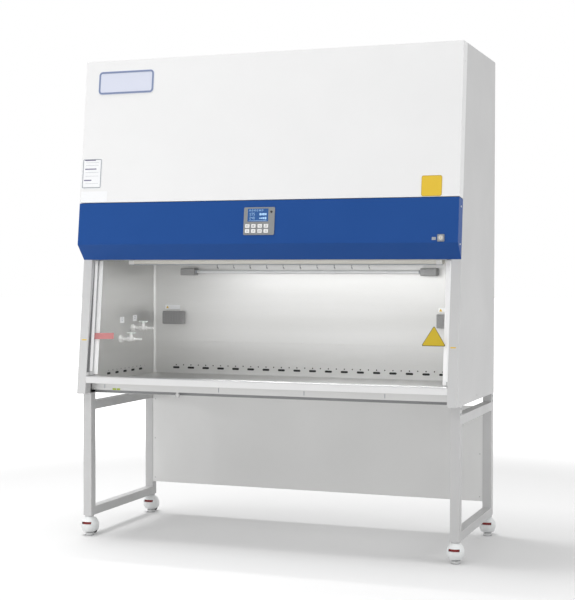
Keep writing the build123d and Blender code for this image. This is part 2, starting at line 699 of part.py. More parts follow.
def pressure_plenum():
    """Deck over the chamber and the pressurised box between supply and exhaust filters."""
    deck = block(-inner_half, inner_half, diffuser_front, pan_rear, z_panel_bottom, z_filter)
    deck -= block(-supply_half + frame_edge, supply_half - frame_edge, y_filter_front + frame_edge,
                  y_filter_back - frame_edge, z_panel_bottom - 1, z_filter + 1)
    deck -= block(-plenum_half, plenum_half, y_chamber_back + 12, pan_rear - 12, z_panel_bottom - 1, z_filter + 1)
    corner = lean_block(post_inner - 1, half_width, 0, u_top, -post_depth - 1, 0)
    deck -= both_sides(corner)
    walls = [(front_y(z_filter_top, plenum_setback), z_filter_top), (y_plenum_back, z_filter_top),
             (y_plenum_back, z_plenum_top), (front_y(z_plenum_top, plenum_setback), z_plenum_top)]
    t = plenum_sheet
    hollow = [(front_y(z_filter_top - 1, plenum_setback + t), z_filter_top - 1), (y_plenum_back - t, z_filter_top - 1),
              (y_plenum_back - t, z_plenum_top - t), (front_y(z_plenum_top - t, plenum_setback + t), z_plenum_top - t)]
    box = prism(walls, -plenum_half, plenum_half) - prism(hollow, -plenum_half + t, plenum_half - t)
    box -= block(-exhaust_half + frame_edge, exhaust_half - frame_edge, exhaust_y - exhaust_depth / 2 + frame_edge,
                 exhaust_y + exhaust_depth / 2 - frame_edge, z_plenum_top - 5, z_plenum_top + 5)
    box -= cylinder_y(inlet_hole, y_plenum_back - 5, y_plenum_back + 5, 0, fan_height)
    web = block(plenum_half - t, inner_half, y_plenum_back - t, y_plenum_back, z_filter_top, z_filter_top + 60)
    return [deck, box + both_sides(web)]


parts["pressure_plenum"] = pressure_plenum()

# blower: scroll housing with a forward-curved wheel on an external-rotor motor
y_scroll_back = y_plenum_back - plenum_sheet
y_scroll_front = y_scroll_back - scroll_depth
scroll_start = impeller_radius + scroll_clearance


def scroll_outline(offset):
    """Air path seen from the rear: a half-turn spiral opening into a straight neck."""
    arc = []
    for degrees in range(0, 181, 20):
        radius = scroll_start + scroll_growth * degrees / 270 + offset
        angle = math.radians(180 - degrees)
        arc.append((radius * math.cos(angle), radius * math.sin(angle)))
    left, right = arc[0], arc[-1]
    over_the_top = Spline(*arc, tangents=[(0, 1), (0, -1)])
    neck = Polyline(right, (right[0], -scroll_neck), (left[0], -scroll_neck), left)
    return make_face(over_the_top + neck)


def blower_housing():
    """Scroll on the plenum's rear wall, inlet ring to the rear, outlet downwards."""
    rear_view = Plane(origin=(0, y_scroll_back, fan_height), x_dir=(1, 0, 0), z_dir=(0, -1, 0))
    t = plenum_sheet
    shell = rear_view.location * extrude(scroll_outline(t), amount=scroll_depth)
    core = rear_view.location * Pos(0, 0, t) * extrude(scroll_outline(0), amount=scroll_depth - 2 * t)
    wide = scroll_start + scroll_growth * 180 / 270
    mouth = block(-scroll_start, wide, y_scroll_front + t, y_scroll_back - t,
                  fan_height - scroll_neck - 5, fan_height - scroll_neck + 20)
    shell = shell - core - mouth - cylinder_y(inlet_ring_radius, y_scroll_back - 5, y_scroll_back + 1, 0, fan_height)
    ring_front = y_scroll_front + impeller_gap + impeller_width - inlet_lap
    ring = cylinder_y(inlet_ring_radius + t, ring_front, y_scroll_back - t / 2, 0, fan_height)
    ring -= cylinder_y(inlet_ring_radius, ring_front - 1, y_scroll_back, 0, fan_height)
    stator = cylinder_y(45, y_scroll_front, y_scroll_front + impeller_gap - 1, 0, fan_height)
    spindle = cylinder_y(fan_shaft_radius, y_scroll_front, y_scroll_front + impeller_gap + 50, 0, fan_height)
    ear = block(-scroll_start - 25, -scroll_start + 1, y_scroll_back - 3, y_scroll_back, fan_height - 60, fan_height + 60)
    return shell + ring + stator + spindle + ear


parts["blower_housing"] = blower_housing()


def blower_impeller():
    """Back plate with the motor's rotor, forward-curved blades and a rim ring."""
    y0 = y_scroll_front + impeller_gap
    y1 = y0 + impeller_width
    inner_radius = impeller_radius - 28
    wheel = cylinder_y(impeller_radius, y0, y0 + 2, 0, fan_height)
    rim = cylinder_y(impeller_radius, y1 - 2, y1, 0, fan_height) - cylinder_y(inner_radius, y1 - 3, y1 + 1, 0, fan_height)
    rotor = cylinder_y(impeller_hub, y0, y0 + 56, 0, fan_height)
    chord = Plane(origin=(0, y0 + 1, fan_height), x_dir=(1, 0, 0), z_dir=(0, 1, 0))
    a, b = (inner_radius + 0.5, 0), (impeller_radius - 0.5, -9)
    blade_face = make_face(ThreePointArc(a, (impeller_radius - 13, 1.5), b)
                           + Line(b, (b[0] - 0.8, b[1] - 1.2))
                           + ThreePointArc((b[0] - 0.8, b[1] - 1.2), (impeller_radius - 14, -0.2), (a[0], a[1] - 1.5))
                           + Line((a[0], a[1] - 1.5), a))
    blade = extrude(blade_face, amount=impeller_width - 2)
    blades = [chord.location * Rot(0, 0, 360 / blade_count * i) * blade for i in range(blade_count)]
    wheel += rotor + rim
    wheel += blades
    return wheel - cylinder_y(fan_shaft_radius + shaft_fit, y0 - 1, y0 + 60, 0, fan_height)


parts["blower_impeller"] = blower_impeller()

# ---------------------------------------------------------------- fittings in the chamber
parts["light_bar"] = prism([(bar_front, z_panel_bottom - sheet), (bar_front, z_panel_bottom - sheet - 8),
                            (bar_front + 10, z_panel_bottom - bar_drop), (bar_front + bar_depth - 10, z_panel_bottom - bar_drop),
                            (bar_front + bar_depth, z_panel_bottom - sheet - 8), (bar_front + bar_depth, z_panel_bottom - sheet)],
                           -bar_half, bar_half)


def hanging_rail():
    """Rod under the ceiling on two posts, with open hooks at an even pitch."""
    z_rail = z_panel_bottom - sheet - 14
    rail = cylinder_x(rail_radius, -rail_half, rail_half, rail_y, z_rail)
    for x in (-rail_half + 8, 0, rail_half - 8):
        rail += cylinder_z(3.0, z_rail, z_panel_bottom - sheet, x, rail_y)
        rail += cylinder_z(8.0, z_panel_bottom - sheet - 2, z_panel_bottom - sheet, x, rail_y)
    for i in range(hook_count):
        x = (i - (hook_count - 1) / 2) * hook_pitch
        rail += cylinder_z(hook_wire, z_rail - hook_drop, z_rail, x, rail_y)
        bend = revolve(Pos(6, 0, 0) * Circle(hook_wire), Axis.Y, 180)
        rail += Pos(x, rail_y + 6, z_rail - hook_drop) * Rot(0, 0, 90) * Rot(180, 0, 0) * bend
    return rail


parts["hanging_rail"] = hanging_rail()


def lamp_holder():
    """End housing of the ultraviolet tube, fixed to the rear wall, bored for the tube's cap."""
    body = block(lamp_half, lamp_half + holder_length, lamp_y - 18, y_chamber_back, z_lamp - holder_height / 2,
                 z_lamp + holder_height / 2)
    body = fillet(body.edges().filter_by(Axis.X).group_by(Axis.Y)[0], 7)
    body = chamfer(body.edges().filter_by(Axis.Z).group_by(Axis.X)[-1], 3)
    return body - cylinder_x(lamp_radius + running, lamp_half - 1, lamp_half + lamp_pin, lamp_y, z_lamp)


parts["lamp_holders"] = both_sides(lamp_holder())
parts["uv_tube"] = cylinder_x(lamp_radius, -lamp_half - lamp_pin, lamp_half + lamp_pin, lamp_y, z_lamp)

lid_y = y_chamber_back - socket_depth
pivot_y = lid_y - lid_barrel_radius - 0.5
pivot_z = z_socket + socket_height - lid_barrel_radius
lid_half = socket_width / 2 - lid_margin


def socket_box():
    """Surface-mounted socket with two lugs that carry the lid's pin."""
    body = block(-socket_width / 2, socket_width / 2, lid_y, y_chamber_back, z_socket, z_socket + socket_height)
    body = fillet(body.edges().filter_by(Axis.Y), 5)
    body -= block(-40, 40, lid_y - 1, lid_y + 4, z_socket + 10, z_socket + socket_height - 16)
    for x in (-26, 26):
        body -= cylinder_y(2.4, lid_y, lid_y + 20, x - 6, z_socket + 28)
        body -= cylinder_y(2.4, lid_y, lid_y + 20, x + 6, z_socket + 28)
    for side in (-1, 1):
        x0, x1 = sorted((side * 34, side * 44))
        lug = block(x0, x1, pivot_y, lid_y + 1, pivot_z - 3, pivot_z + 3)
        lug += cylinder_x(3.0, x0, x1, pivot_y, pivot_z)
        body += lug
    return body + cylinder_x(lid_pin_radius, -40, 40, pivot_y, pivot_z)


def socket_lid():
    """Ribbed flap hung from the pin at the socket's top edge."""
    y1 = lid_y - running
    y0 = y1 - lid_thickness
    lid = block(-lid_half, lid_half, y0, y1, z_socket + lid_margin, pivot_z - lid_barrel_radius - 1.5)
    lid = fillet(lid.edges().filter_by(Axis.Y), 4)
    lid -= block(-lid_half + 3, lid_half - 3, y1 - 5, y1 + 1, z_socket + lid_margin + 3, pivot_z - lid_barrel_radius - 5)
    rib_pitch = 2 * (lid_half - 10) / (lid_rib_count - 1)
    for i in range(lid_rib_count):
        x = -lid_half + 10 + i * rib_pitch
        lid += block(x - 2, x + 2, y0 - 1.6, y0, z_socket + lid_margin + 6, pivot_z - lid_barrel_radius - 8)
    knuckle = cylinder_x(lid_barrel_radius, -33, 33, pivot_y, pivot_z)
    knuckle += block(-33, 33, pivot_y - lid_barrel_radius, pivot_y + 1.5, pivot_z - lid_barrel_radius - 3, pivot_z)
    knuckle -= cylinder_x(lid_pin_radius + shaft_fit, -50, 50, pivot_y, pivot_z)
    return lid + knuckle


parts["socket_boxes"] = [Pos(side * socket_x, 0, 0) * socket_box() for side in (-1, 1)]
parts["socket_lid_left"] = Pos(-socket_x, 0, 0) * socket_lid()
parts["socket_lid_right"] = Pos(socket_x, 0, 0) * socket_lid()


def tap_body():
    """Wall flange, pipe, valve body with bonnet and spindle, and a hose nozzle, along +X."""
    tap = cylinder_x(tap_flange_radius, 0, 5, 0, 0)
    tap += cylinder_x(tap_flange_radius - 6, 5, 14, 0, 0)
    tap += cylinder_x(tap_pipe_radius, 5, tap_reach + tap_body_radius + 8, 0, 0)
    tap += cylinder_x(tap_pipe_radius + 3, tap_reach - tap_body_radius - 7, tap_reach - tap_body_radius + 2, 0, 0)
    tap += cylinder_x(tap_pipe_radius + 3, tap_reach + tap_body_radius - 2, tap_reach + tap_body_radius + 7, 0, 0)
    tap += Pos(tap_reach, 0, 0) * Sphere(tap_body_radius)
    tap += cylinder_z(tap_body_radius - 4, 0, tap_bonnet_height, tap_reach, 0)
    tap += cylinder_z(tap_spindle_radius, 0, tap_bonnet_height + 9, tap_reach, 0)
    x0 = tap_reach + tap_body_radius + 8
    tap += cylinder_x(tap_nozzle_radius, x0 - 1, x0 + tap_nozzle_length - 8, 0, 0)
    for step in (0, 1):
        rib = Pos(x0 + 6 + 7 * step, 0, 0) * Rot(0, 90, 0) * Cone(tap_nozzle_radius + 1.5, tap_nozzle_radius, 6)
        tap += rib
    return tap


def tap_lever():
    """Wing handle on the spindle."""
    z0 = tap_bonnet_height + running
    hub = cylinder_z(8, z0, z0 + 12, tap_reach, 0)
    wing = Pos(tap_reach, 0, z0 + 5) * rounded(lever_length, 9, 7, 4.4)
    lever = hub + wing
    return lever - cylinder_z(tap_spindle_radius + shaft_fit, z0 - 1, tap_bonnet_height + 9 + running, tap_reach, 0)


parts["tap_bodies"] = [Pos(-chamber_half, y, z) * tap_body() for y, z in tap_places]
for number, (y, z) in enumerate(tap_places, 1):
    parts[f"tap_lever_{number}"] = Pos(-chamber_half, y, z) * tap_lever()

# ---------------------------------------------------------------- stand
leg_places = [("fl", -1, leg_front + tube / 2), ("fr", 1, leg_front + tube / 2),
              ("rl", -1, leg_back - tube / 2), ("rr", 1, leg_back - tube / 2)]
race_height = z_leg - z_castor_top - running


def side_frame():
    """Two legs and two rails in square tube, closed feet, with the castors' king pins."""
    x0, x1 = leg_inner, leg_inner + tube
    frame = []
    for y in (leg_front, leg_back - tube):
        leg = block(x0, x1, y, y + tube, z_leg, z_base)
        leg -= block(x0 + tube_wall, x1 - tube_wall, y + tube_wall, y + tube - tube_wall, z_leg + 4, z_base - 4)
        race = cylinder_z(race_radius, z_leg - race_height, z_leg, leg_centre, y + tube / 2)
        z_head = z_castor_top - castor_wall - king_pin_head_height
        pin = cylinder_z(king_pin_radius, z_head, z_leg + 2, leg_centre, y + tube / 2)
        head = cylinder_z(king_pin_head, z_head, z_castor_top - castor_wall - running, leg_centre, y + tube / 2)
        frame.append(leg + race + pin + head)
    for z in (z_leg, z_upper_rail):
        rail = block(x0, x1, leg_front + tube, leg_back - tube, z, z + rail_height)
        rail -= block(x0 + tube_wall, x1 - tube_wall, leg_front, leg_back, z + tube_wall, z + rail_height - tube_wall)
        frame.append(rail)
    return frame[0] + frame[1] + frame[2] + frame[3]


parts["stand_side_frames"] = both_sides(side_frame())

stand_panel = block(-leg_inner, leg_inner, stand_panel_y, stand_panel_y + sheet, stand_panel_bottom, stand_panel_top)
for lo, hi in ((stand_panel_bottom, stand_panel_bottom + sheet), (stand_panel_top - sheet, stand_panel_top)):
    stand_panel += block(-leg_inner, leg_inner, stand_panel_y, stand_panel_y + stand_panel_flange, lo, hi)
stand_panel += both_sides(block(leg_inner - sheet, leg_inner, stand_panel_y, stand_panel_y + stand_panel_flange,
                                stand_panel_bottom, stand_panel_top))
parts["stand_rear_panel"] = stand_panel

# ---------------------------------------------------------------- levelling castors
wheel_z = wheel_radius + wheel_clear
fork_half = wheel_width / 2 + fork_cheek


def dome(skirt, waist, top, z_waist, z_top, inset, drop):
    """A round shell about Z from its three radii, or its inside at the wall's thickness."""
    bottom, waist_at, top_at = (skirt - inset, z_castor_skirt - drop), (waist - inset, z_waist), (top - inset, z_top - inset)
    arc = ThreePointArc(*[(r, 0, z) for r, z in (bottom, waist_at, top_at)])
    sides = Polyline((top_at[0], 0, top_at[1]), (0, 0, top_at[1]), (0, 0, bottom[1]), (bottom[0], 0, bottom[1]))
    return revolve(make_face([arc, *sides.edges()]), axis=Axis.Z)


def castor_form(inset, drop):
    """The round shell over the screw joined with the hump over the wheel."""
    hump = dome(hump_skirt, hump_waist, hump_top, z_hump_waist, z_hump_top, inset, drop)
    return dome(dome_skirt, dome_waist, dome_top, z_dome_waist, z_castor_top, inset, drop) + Pos(0, hump_offset, 0) * hump


def castor_housing():
    """Round nylon shell with webs that guide the levelling screw, and its axle."""
    shell, cavity = castor_form(0, 0), castor_form(castor_wall, 1)
    z_under, z_over = z_thumb - running, z_thumb + thumb_height + running
    webs = block(-dome_waist, dome_waist, -dome_waist, web_reach, z_under - web_thickness, z_under)
    webs += block(-dome_waist, dome_waist, -dome_waist, web_reach, z_over, z_over + web_thickness / 2)
    body = shell - cavity + (webs & cavity)
    body -= cylinder_z(screw_radius + shaft_fit, 0, z_castor_top - castor_wall - 6, 0, 0)
    body -= cylinder_z(king_pin_radius + shaft_fit, z_castor_top - castor_wall - 5, z_castor_top + 1, 0, 0)
    body -= block(-thumb_window / 2, thumb_window / 2, -dome_waist - 1, -window_depth, z_under, z_over)
    body -= block(-wheel_width / 2 - 2, wheel_width / 2 + 2, wheel_trail, hump_offset + hump_waist + 1,
                  z_castor_skirt - 1, 2 * wheel_radius + wheel_clear + 4)
    body += cylinder_x(axle_radius, -fork_half, fork_half, wheel_trail, wheel_z)
    for side in (-1, 1):
        x0, x1 = sorted((side * (wheel_width / 2 + 1), side * fork_half))
        cheek = block(x0, x1, wheel_trail - fork_reach, wheel_trail + fork_reach, wheel_z, z_castor_top) & shell
        body += cheek + cylinder_x(axle_boss_radius, x0, x1, wheel_trail, wheel_z)
    return body


def castor_wheel():
    """Tyred wheel with recessed sides."""
    wheel = cylinder_x(wheel_radius, -wheel_width / 2, wheel_width / 2, wheel_trail, wheel_z)
    wheel = fillet(wheel.edges().filter_by(GeomType.CIRCLE), 2.5)
    for side in (-1, 1):
        x0, x1 = sorted((side * (wheel_width / 2 - 2.5), side * (wheel_width / 2 + 1)))
        wheel -= cylinder_x(wheel_radius - 6, x0, x1, wheel_trail, wheel_z) - cylinder_x(7, x0, x1, wheel_trail, wheel_z)
    return wheel - cylinder_x(axle_radius + shaft_fit, -wheel_width, wheel_width, wheel_trail, wheel_z)


def castor_thumbwheel():
    """Notched nut that runs the levelling screw up and down."""
    nut = cylinder_z(thumb_radius, z_thumb, z_thumb + thumb_height, 0, 0)
    for i in range(thumb_teeth):
        nut -= Rot(0, 0, 360 / thumb_teeth * i) * block(
            thumb_radius - 1.6, thumb_radius + 1, -1.2, 1.2, z_thumb - 1, z_thumb + thumb_height + 1)
    return nut - cylinder_z(screw_radius + shaft_fit, z_thumb - 1, z_thumb + thumb_height + 1, 0, 0)


def castor_pad():
    """Foot with its rubber sole and screw."""
    sole = cylinder_z(pad_radius, 0, pad_rubber, 0, 0)
    sole = fillet(sole.edges().sort_by(Axis.Z)[0], 1.5)
    cup = cylinder_z(pad_radius - 1.5, pad_rubber, pad_height, 0, 0)
    cup = chamfer(cup.edges().filter_by(GeomType.CIRCLE).sort_by(Axis.Z)[-1], 3)
    return sole + cup + cylinder_z(screw_radius, pad_rubber, screw_top, 0, 0)


for corner, side, y in leg_places:
    place = Pos(side * leg_centre, y, 0)
    parts[f"castor_{corner}_housing"] = place * castor_housing()
    parts[f"castor_{corner}_wheel"] = place * castor_wheel()
    parts[f"castor_{corner}_thumbwheel"] = place * castor_thumbwheel()
    parts[f"castor_{corner}_pad"] = place * castor_pad()


# ---------------------------------------------------------------- write the pieces
def solids_of(piece):
    pieces = piece if isinstance(piece, list) else [piece]
    return [solid for item in pieces for solid in item.solids()]


boxes = [Compound(children=solids_of(piece)).bounding_box() for piece in parts.values()]
y_shift = -(min(box.min.Y for box in boxes) + max(box.max.Y for box in boxes)) / 2

if __name__ == "__main__":
    for name, piece in parts.items():
        moved = [Pos(0, y_shift, 0) * solid for solid in solids_of(piece)]
        export_step(moved[0] if len(moved) == 1 else Compound(children=moved), f"parts/{name}.step")
    print(len(parts), "pieces, shift", round(y_shift, 3), "sash travel", round(sash_down, 2), sash_up)
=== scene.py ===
import bmesh
import bpy
import math
from mathutils import Matrix, Vector


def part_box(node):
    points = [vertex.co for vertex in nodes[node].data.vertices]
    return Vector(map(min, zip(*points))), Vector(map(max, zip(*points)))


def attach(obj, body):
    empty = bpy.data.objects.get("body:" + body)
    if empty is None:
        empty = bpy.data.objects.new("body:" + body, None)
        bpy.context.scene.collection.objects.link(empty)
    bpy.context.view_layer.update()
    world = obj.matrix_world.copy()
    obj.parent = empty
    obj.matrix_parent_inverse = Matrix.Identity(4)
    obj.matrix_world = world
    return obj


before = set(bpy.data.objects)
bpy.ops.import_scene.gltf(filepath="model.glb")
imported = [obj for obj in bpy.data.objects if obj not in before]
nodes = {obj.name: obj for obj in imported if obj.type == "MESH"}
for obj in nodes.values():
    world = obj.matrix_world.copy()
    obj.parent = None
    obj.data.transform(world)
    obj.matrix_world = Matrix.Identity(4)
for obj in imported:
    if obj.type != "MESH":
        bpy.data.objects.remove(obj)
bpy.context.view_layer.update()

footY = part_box("side_panels")[0].y      # front lower corner of the side panels
baseZ = 0.691                           # underside of the casing
leanAngle = math.radians(6.413)
leanSin, leanCos = math.sin(leanAngle), math.cos(leanAngle)
coverProud = 72.0                       # covers stand this far in front of the posts, in millimetres
casingHalf, casingDepth = 925.0, 779.0  # outer faces of the side panels and of the rear panel
legX, legFront, legRear = 903, 83, 754  # middles of the stand's legs and of the castors
film, paneFilm = 0.35, 0.2              # thickness of a printed film, on the covers, and on posts and pane
ink = 0.12                              # thickness of a printed line
mark = 0.08                             # thickness of a raised mark


def place(x, y, z, turn=None):
    # a point given in millimetres from the foot of the posts, with a turn
    spot = Matrix.Translation((x / 1000, y / 1000 + footY, z / 1000))
    return spot if turn is None else spot @ turn


def onFront(x, z, proud=0.0):
    # X across, Y up the lean and Z out of the cabinet, at height z in millimetres
    u = (z / 1000 - baseZ - proud / 1000 * leanSin) / leanCos
    y = u * leanSin - proud / 1000 * leanCos
    height = baseZ + u * leanCos + proud / 1000 * leanSin
    rows = ((1, 0, 0, x / 1000), (0, leanSin, -leanCos, y + footY), (0, leanCos, leanSin, height))
    return Matrix(rows + ((0, 0, 0, 1),))


def onCover(x, z, proud=0.0):
    return onFront(x, z, coverProud + proud)


def shift(x=0.0, y=0.0, z=0.0):
    return Matrix.Translation((x / 1000, y / 1000, z / 1000))


def facing(axis):
    # turns that point a flat piece's own Z along an axis, with its Y up
    quarter = math.pi / 2
    return {
        "-y": Matrix.Rotation(quarter, 4, "X"),
        "+y": Matrix.Rotation(math.pi, 4, "Z") @ Matrix.Rotation(quarter, 4, "X"),
        "+x": Matrix.Rotation(quarter, 4, "Z") @ Matrix.Rotation(quarter, 4, "X"),
        "-x": Matrix.Rotation(-quarter, 4, "Z") @ Matrix.Rotation(quarter, 4, "X"),
    }[axis]


# camera, fitted to the object's own straight edges
cameraSetup = {
    "x": 2.2463, "y": -5.6669, "z": 1.2754,
    "turn": 20.324, "tilt": 1.203, "roll": 0.103, "lens": 80.67,
}
cameraData = bpy.data.cameras.new("studioCamera")
camera = bpy.data.objects.new("studioCamera", cameraData)
bpy.context.scene.collection.objects.link(camera)
cameraData.lens = cameraSetup["lens"]
cameraData.sensor_width = 36
cameraData.clip_end = 200
camera.matrix_world = (
    Matrix.Translation((cameraSetup["x"], cameraSetup["y"] + footY, cameraSetup["z"]))
    @ Matrix.Rotation(math.radians(cameraSetup["turn"]), 4, "Z")
    @ Matrix.Rotation(math.radians(90 - cameraSetup["tilt"]), 4, "X")
    @ Matrix.Rotation(math.radians(cameraSetup["roll"]), 4, "Z")
)
bpy.context.scene.camera = camera
print("camera placed")


def linear(hexColour):
    # sRGB hex to the linear values that nodes take
    channels = [int(hexColour[i:i + 2], 16) / 255 for i in (1, 3, 5)]
    return tuple(c / 12.92 if c <= 0.04045 else ((c + 0.055) / 1.055) ** 2.4 for c in channels) + (1.0,)


def addNode(tree, kind, settings=None, values=None, links=None):
    # one node with its settings, its socket values and its incoming links
    node = tree.nodes.new(kind)
    for key, value in (settings or {}).items():
        setattr(node, key, value)
    for key, value in (values or {}).items():
        node.inputs[key].default_value = value
    for key, source in (links or {}).items():
        tree.links.new(source, node.inputs[key])
    return node


def newTree(name):
    made = bpy.data.materials.new(name)
    made.use_nodes = True
    made.node_tree.nodes.clear()
    return made, made.node_tree


def finishTree(tree, shader):
    addNode(tree, "ShaderNodeOutputMaterial", links={"Surface": shader})


noiseLow, noiseHigh = 0.3, 0.7          # the part of a noise node's range that most of its values fill


def surface(name, look):
    # a surface with fine grain for its bump, and slow drift in its colour and roughness
    made, tree = newTree(name)
    where = addNode(tree, "ShaderNodeTexCoord").outputs["Object"]
    stretched = addNode(tree, "ShaderNodeMapping", values={"Scale": look.get("stretch", (1, 1, 1))},
                        links={"Vector": where})
    grain = addNode(tree, "ShaderNodeTexNoise",
                    values={"Scale": 1000 / look["grainMm"], "Detail": look.get("grainDetail", 2.0),
                            "Roughness": 0.55},
                    links={"Vector": stretched.outputs["Vector"]})
    drawn = addNode(tree, "ShaderNodeMapping", values={"Scale": look.get("driftStretch", (1, 1, 1))},
                    links={"Vector": where})
    drift = addNode(tree, "ShaderNodeTexNoise",
                    values={"Scale": 1000 / look.get("driftMm", 260), "Detail": 3.0},
                    links={"Vector": drawn.outputs["Vector"]})
    mixed = addNode(tree, "ShaderNodeMix", {"data_type": "RGBA"},
                    {"A": linear(look["colour"]), "B": linear(look["shade"])}, {"Factor": drift.outputs["Fac"]})
    colour = mixed.outputs["Result"]
    if look.get("streak"):
        streak = addNode(tree, "ShaderNodeMapRange",
                         values={"From Min": noiseLow, "From Max": noiseHigh, "To Min": 1 - look["streak"],
                                 "To Max": 1.0},
                         links={"Value": grain.outputs["Fac"]})
        tinted = addNode(tree, "ShaderNodeMix", {"data_type": "RGBA", "blend_type": "MULTIPLY"},
                         {"Factor": 1.0}, {"A": colour, "B": streak.outputs["Result"]})
        colour = tinted.outputs["Result"]
    low, high = look["roughness"]
    rough = addNode(tree, "ShaderNodeMapRange",
                    values={"From Min": noiseLow, "From Max": noiseHigh, "To Min": low, "To Max": high},
                    links={"Value": (grain if look.get("metallic") else drift).outputs["Fac"]})
    bump = addNode(tree, "ShaderNodeBump",
                   values={"Strength": look["bump"], "Distance": look["grainMm"] / 4000},
                   links={"Height": grain.outputs["Fac"]})
    shader = addNode(tree, "ShaderNodeBsdfPrincipled",
                     values={"Metallic": look.get("metallic", 0.0), "Coat Weight": look.get("coat", 0.0),
                             "Coat Roughness": look.get("coatRoughness", 0.1),
                             "Anisotropic": look.get("anisotropic", 0.0)},
                     links={"Base Color": colour, "Roughness": rough.outputs["Result"],
                            "Normal": bump.outputs["Normal"]})
    if not look.get("metallic"):
        shader.inputs["IOR"].default_value = look.get("ior", 1.5)
        shader.inputs["Specular IOR Level"].default_value = look.get("specular", 0.5)
    if look.get("glow"):
        shader.inputs["Emission Color"].default_value = linear(look["colour"])
        shader.inputs["Emission Strength"].default_value = look["glow"]
    finishTree(tree, shader.outputs["BSDF"])
    return made


def filmTint(name, tint):
    # pane seen face on: almost clear, with a faint reflection that grows at a slant
    made, tree = newTree(name)
    clear = addNode(tree, "ShaderNodeBsdfTransparent", values={"Color": linear(tint)})
    mirror = addNode(tree, "ShaderNodeBsdfGlossy", values={"Color": linear("#ffffff"), "Roughness": 0.02})
    slant = addNode(tree, "ShaderNodeFresnel", values={"IOR": 1.52})
    share = addNode(tree, "ShaderNodeMath", {"operation": "MULTIPLY"}, {1: 0.35}, {0: slant.outputs["Fac"]})
    both = addNode(tree, "ShaderNodeMixShader", links={0: share.outputs["Value"], 1: clear.outputs["BSDF"],
                                                       2: mirror.outputs["BSDF"]})
    finishTree(tree, both.outputs["Shader"])
    return made


